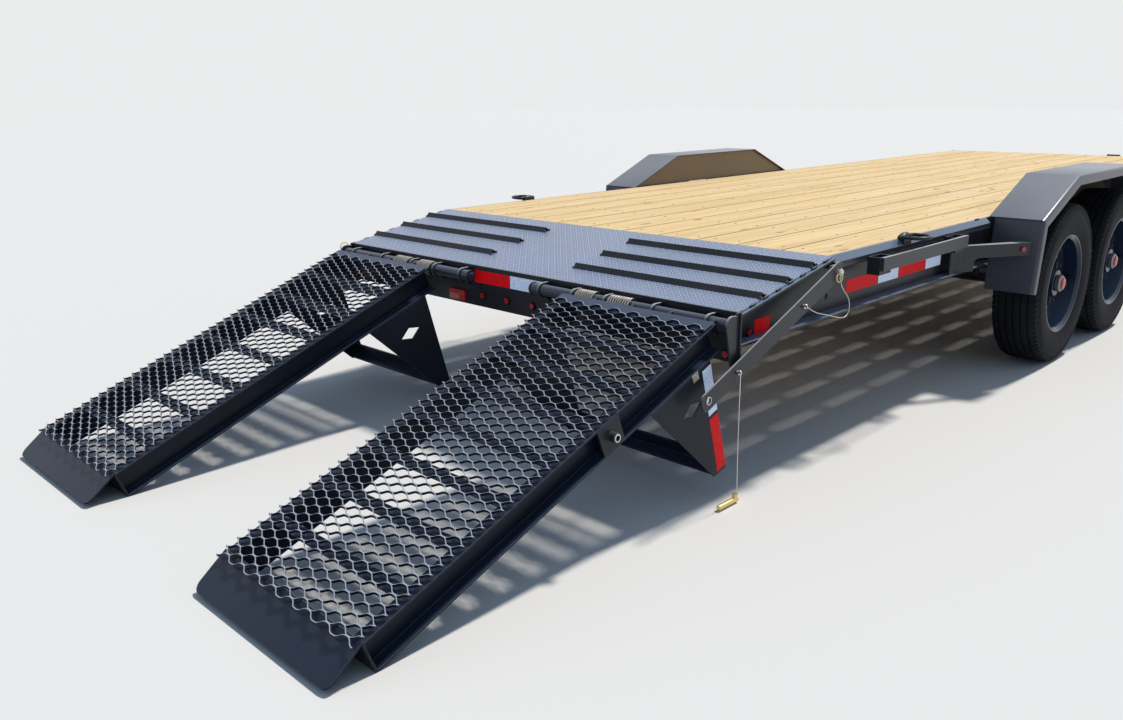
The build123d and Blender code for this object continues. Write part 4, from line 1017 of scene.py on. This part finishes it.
def leg_strip(side, start, end):
    """A strip down the front edge of a ramp's outer leg, from start to end as shares of the edge."""
    width, edge_top, edge_low = 0.046, np.array([0.104, -0.066]), np.array([0.141, -0.464])
    top, low = [edge_top + share * (edge_low - edge_top) for share in (start, end)]
    flat = [top, top + (width, 0), low + (width, 0), low]
    return strip([on_ramp(along, side * ramp_outer_y, lift) for along, lift in flat], (0, side, 0))


web_y = 1.032
channel_x = tail_x - 0.007
beam_heights, tail_heights, rear_heights = (0.562, 0.612), (0.5195, 0.5675), (0.555, 0.605)
red_runs = ((0.185, 0.433), (0.607, 0.852))
white_runs = ((0.436, 0.604), (0.855, 1.000))
reds, whites = [], []
for side in sides.values():
    for strips, runs in ((reds, red_runs), (whites, white_runs)):
        strips += [side_strip(start, end, beam_heights, side) for start, end in runs]
    reds.append(side_strip(-0.415, -0.325, tail_heights, side))
reds.append(rear_strip(-0.015, 0.193))
whites.append(rear_strip(-0.198, -0.017))
add_piece("red_tape", join_skins(reds), red_tape, "frame", 0)
add_piece("white_tape", join_skins(whites), white_tape, "frame", 0)
for name, side in sides.items():
    ramp = f"ramp_{name}"
    add_piece(f"leg_tape_red_{name}", leg_strip(side, 0.47, 0.97), red_tape, ramp, 0)
    add_piece(f"leg_tape_white_{name}", leg_strip(side, 0.03, 0.44), white_tape, ramp, 0)
for name, side in sides.items():
    flat = rectangle(0.170, 0.200, -0.090, -0.0625)
    tab = [on_ramp(along, side * ramp_outer_y, lift) for along, lift in flat]
    add_piece(f"leg_tab_{name}", strip(tab, (0, side, 0)), cream_plate, f"ramp_{name}", 0)
print("tape strips", len(reds) + len(whites) + 3 * len(sides))

# %% [markdown]
# ## Lashing rings
# A forged D-shaped ring lies in a lug beside the boards, laid outward. The ring is a tube along a closed
# path of a straight bar, two small corners and a half circle, and the lug is a strap bent over the bar:
# an arch carried along the bar.

# %% Rings and lugs
ring_x, ring_y, ring_z = deck_x + 0.560, 1.0725, deck_z + 0.0105
ring_thick = 0.0073


def lashing_ring(side):
    """A D of round bar lying flat, with its bow toward the outside."""
    half_long, corner = 0.0505, 0.012
    quarter, bow = np.linspace(0, np.pi / 2, 7), np.linspace(0, np.pi, 25)
    bar = columns(np.linspace(-0.03, 0.03, 5), 0)
    right = columns(half_long - corner + corner * np.sin(quarter), corner - corner * np.cos(quarter))
    outer = columns(half_long * np.cos(bow), 0.042 + half_long * np.sin(bow))
    along, y = np.concatenate([bar, right, outer, right[::-1] * (-1, 1)]).T
    path = columns(ring_x + along, side * (ring_y + y), ring_z)
    return tube(path, ring_thick, 12, (0, 0, 1), closed=True)


def ring_lug(side):
    """An arch over the bar: a half ellipse (y, z) = centre + (cos, sin) on two feet, lower at the ends."""
    bend = np.linspace(0, np.pi, 13)
    arch = columns(1.0665 + 0.0150 * np.cos(bend), 0.738 + 0.0145 * np.sin(bend))
    y, z = np.concatenate([[(1.0800, 0.7070)], arch, [(1.0515, 0.7285)]]).T
    half = 0.032
    along = np.linspace(-half, half, 9)[:, None]
    shrink = 1 - 0.35 * (np.abs(along) / half) ** 3
    height = deck_z + (z - deck_z) * np.where(z > deck_z + 0.0006, shrink, 1.0)
    return skin(columns(ring_x + along, side * y, height))


ring_parts = [make(side) for side in sides.values() for make in (lashing_ring, ring_lug)]
rings_piece = add_piece("ring_forgings", join_skins(ring_parts), black_paint, "frame", 35)
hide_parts("lashing_rings")
print("ring faces", len(rings_piece.data.polygons))

# %% [markdown]
# ## Weld beads, bolts and screws
# Where plates meet, the frame shows short lumpy weld beads, and they catch the light as bright spots. A
# bead is a small tube whose radius ripples along it. A bolt on a washer stands where each lock bar turns,
# thin rims ring the hole at its far end and the one in its socket, and small screws hold the boards.

# %% Weld beads
def bead(start, end, radius, seed):
    """A short tube with thin ends: its radius is the root of 1 - (2t - 1)^6, rippled by a sine."""
    t = np.linspace(0, 1, 15)
    start, end = np.asarray(start, dtype=float), np.asarray(end, dtype=float)
    swell = np.sqrt(np.clip(1 - (2 * t - 1) ** 6, 0.02, 1)) * (1 + 0.16 * np.sin(t * 34 + seed))
    return tube(start + t[:, None] * (end - start), radius * swell, 8, (0, 0, 1))


beads = []
bead_radius, tail_seam_y, strip_y = 0.0042, 1.0690, 1.0575
cleat_along = np.array([0.116, 0.271, 0.426]) / np.cos(tail_slope)
for side in sides.values():
    for i, along in enumerate(cleat_along):
        for y in (0.237, 1.065):
            for shift in (-0.013, 0.013):
                ends = on_tail(along + shift + np.array([-0.006, 0.006]), side * y, 0.003)
                beads.append(bead(*ends, bead_radius, i + y))
    for i, along in enumerate(np.arange(0.03, 0.56, 0.075)):
        ends = on_tail(along + np.array([0, 0.034]), side * tail_seam_y, -0.002)
        beads.append(bead(*ends, bead_radius, 2.3 * i))
    for i, x in enumerate(np.arange(deck_x + 1.26, deck_x + 3.25, 0.30)):
        y, z = side * strip_y, deck_z + 0.001
        beads.append(bead((x, y, z), (x + 0.05, y, z), 0.0038, i))
add_piece("weld_beads", join_skins(beads), black_paint, "frame", 60)
print("beads", len(beads))

# %% Bolts, washers and deck screws
def bolt(centre, out, size):
    """A hexagon head on a round washer."""
    thick, wide, flats, top = 0.12 * size, 1.15 * size, 0.9 * size, 0.6 * size
    washer = lathe([(0, 0), (0, wide), (thick, wide), (thick, 0)], centre, out, 20)
    seat = np.asarray(centre) + thick * np.asarray(out, dtype=float)
    head = lathe([(0, 0), (0, flats), (0.5 * size, flats), (top, 0.72 * size), (top, 0)], seat, out, 6)
    return join_skins([washer, head])


def rim(inner, outer, height, centre, out):
    """A thin ring round a hole, a little narrower at its top."""
    profile = [(0, inner), (0, outer), (height, outer - 0.0004), (height, inner)]
    return lathe(profile, centre, out, 24, closed=True)


bar_rest, bar_reach = np.radians(21.8), 0.7945
tip_x, tip_z = bar_x - bar_reach * np.cos(bar_rest), bar_z - bar_reach * np.sin(bar_rest)
for name, side in sides.items():
    out = (0, side, 0)
    socket_place = on_ramp(0.575, side * (ramp_outer_y + 0.0222), -0.020)
    for label, shape, body in (
        ("pivot_bolt", bolt((bar_x, side * 1.1085, bar_z), out, 0.011), "frame"),
        ("bar_rim", rim(0.0101, 0.0130, 0.002, (tip_x, side * 1.0972, tip_z), out), f"bar_{name}"),
        ("socket_rim", rim(0.0087, 0.0124, 0.0015, socket_place, out), f"ramp_{name}"),
    ):
        add_piece(f"{label}_{name}", shape, zinc_plate, body, 30)

screw = [(0, 0), (0, 0.0055), (0.0007, 0.0050), (0.0007, 0)]
channel_pitch, channels = 0.406, 15
cross_x = deck_x + 0.078 + channel_pitch * np.arange(channels)
board_y = -1.050 + board_pitch * np.arange(11) + 0.092
screws = [
    lathe(screw, (x + 0.006 * np.sin(9 * x + 40 * y), y + shift, deck_z + 0.0001), (0, 0, 1), 8)
    for x in cross_x for y in board_y for shift in (-0.055, 0.055)
]
add_piece("deck_screws", join_skins(screws), spring_paint, "frame", 30)
print("deck screws", len(screws))

# %% [markdown]
# ## Lamp grommets, clip and eyelets
# The round lamps sit in rubber grommets, a yellow-plated ring clip hangs on the right bar's pivot and
# another ring at the left end of the hinge, and two eyelets on the right bar hold the wire ropes. All are
# closed rings of round section.

# %% Grommets, eyelets and clip
rear_lamps = ((-0.143, 0.505), (0.0, 0.505), (0.143, 0.505), (-1.031, 0.483), (1.031, 0.483))
lamps = [((channel_x - 0.0015, y, z), (-1, 0, 0)) for y, z in rear_lamps]
lamps += [((deck_x - 0.452, side * (web_y + 0.0015), 0.532), (0, side, 0)) for side in sides.values()]
grommets = [ring_tube(centre, out, 0.0135, 0.0026) for centre, out in lamps]
add_piece("lamp_grommets", join_skins(grommets), tyre_rubber, "frame")
clip_wire = 0.0022
clip = ring_tube((-2.7225, -1.1062, 0.659), (0.15, 1, 0), 0.016, clip_wire)
add_piece("pivot_clip", clip, yellow_zinc, "frame")
hinge_ring = ring_tube((hinge_x, 1.0845, hinge_z + 0.022), (0.15, 1, 0), 0.020, clip_wire)
add_piece("hinge_ring", hinge_ring, yellow_zinc, "frame")
eyelets = (eyelet_loop, eyelet_drop)
eyes = [ring_tube((x, -1.1050, z), (1, 0.2, 0), 0.0065, 0.0018, 20) for x, z in eyelets]
add_piece("bar_eyelets", join_skins(eyes), zinc_plate, "bar_right")
print("grommets", len(grommets))

# %% [markdown]
# ## Size test and finish
# The last cell measures the dressed trailer's box and prints how far it grows past the CAD model's box.

# %% Measure the growth past the CAD box
shown_box = [list(corner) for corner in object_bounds()]
growth = np.concatenate([np.subtract(cad_box[0], shown_box[0]), np.subtract(shown_box[1], cad_box[1])])
print("largest growth", round(float(growth.max()), 5))
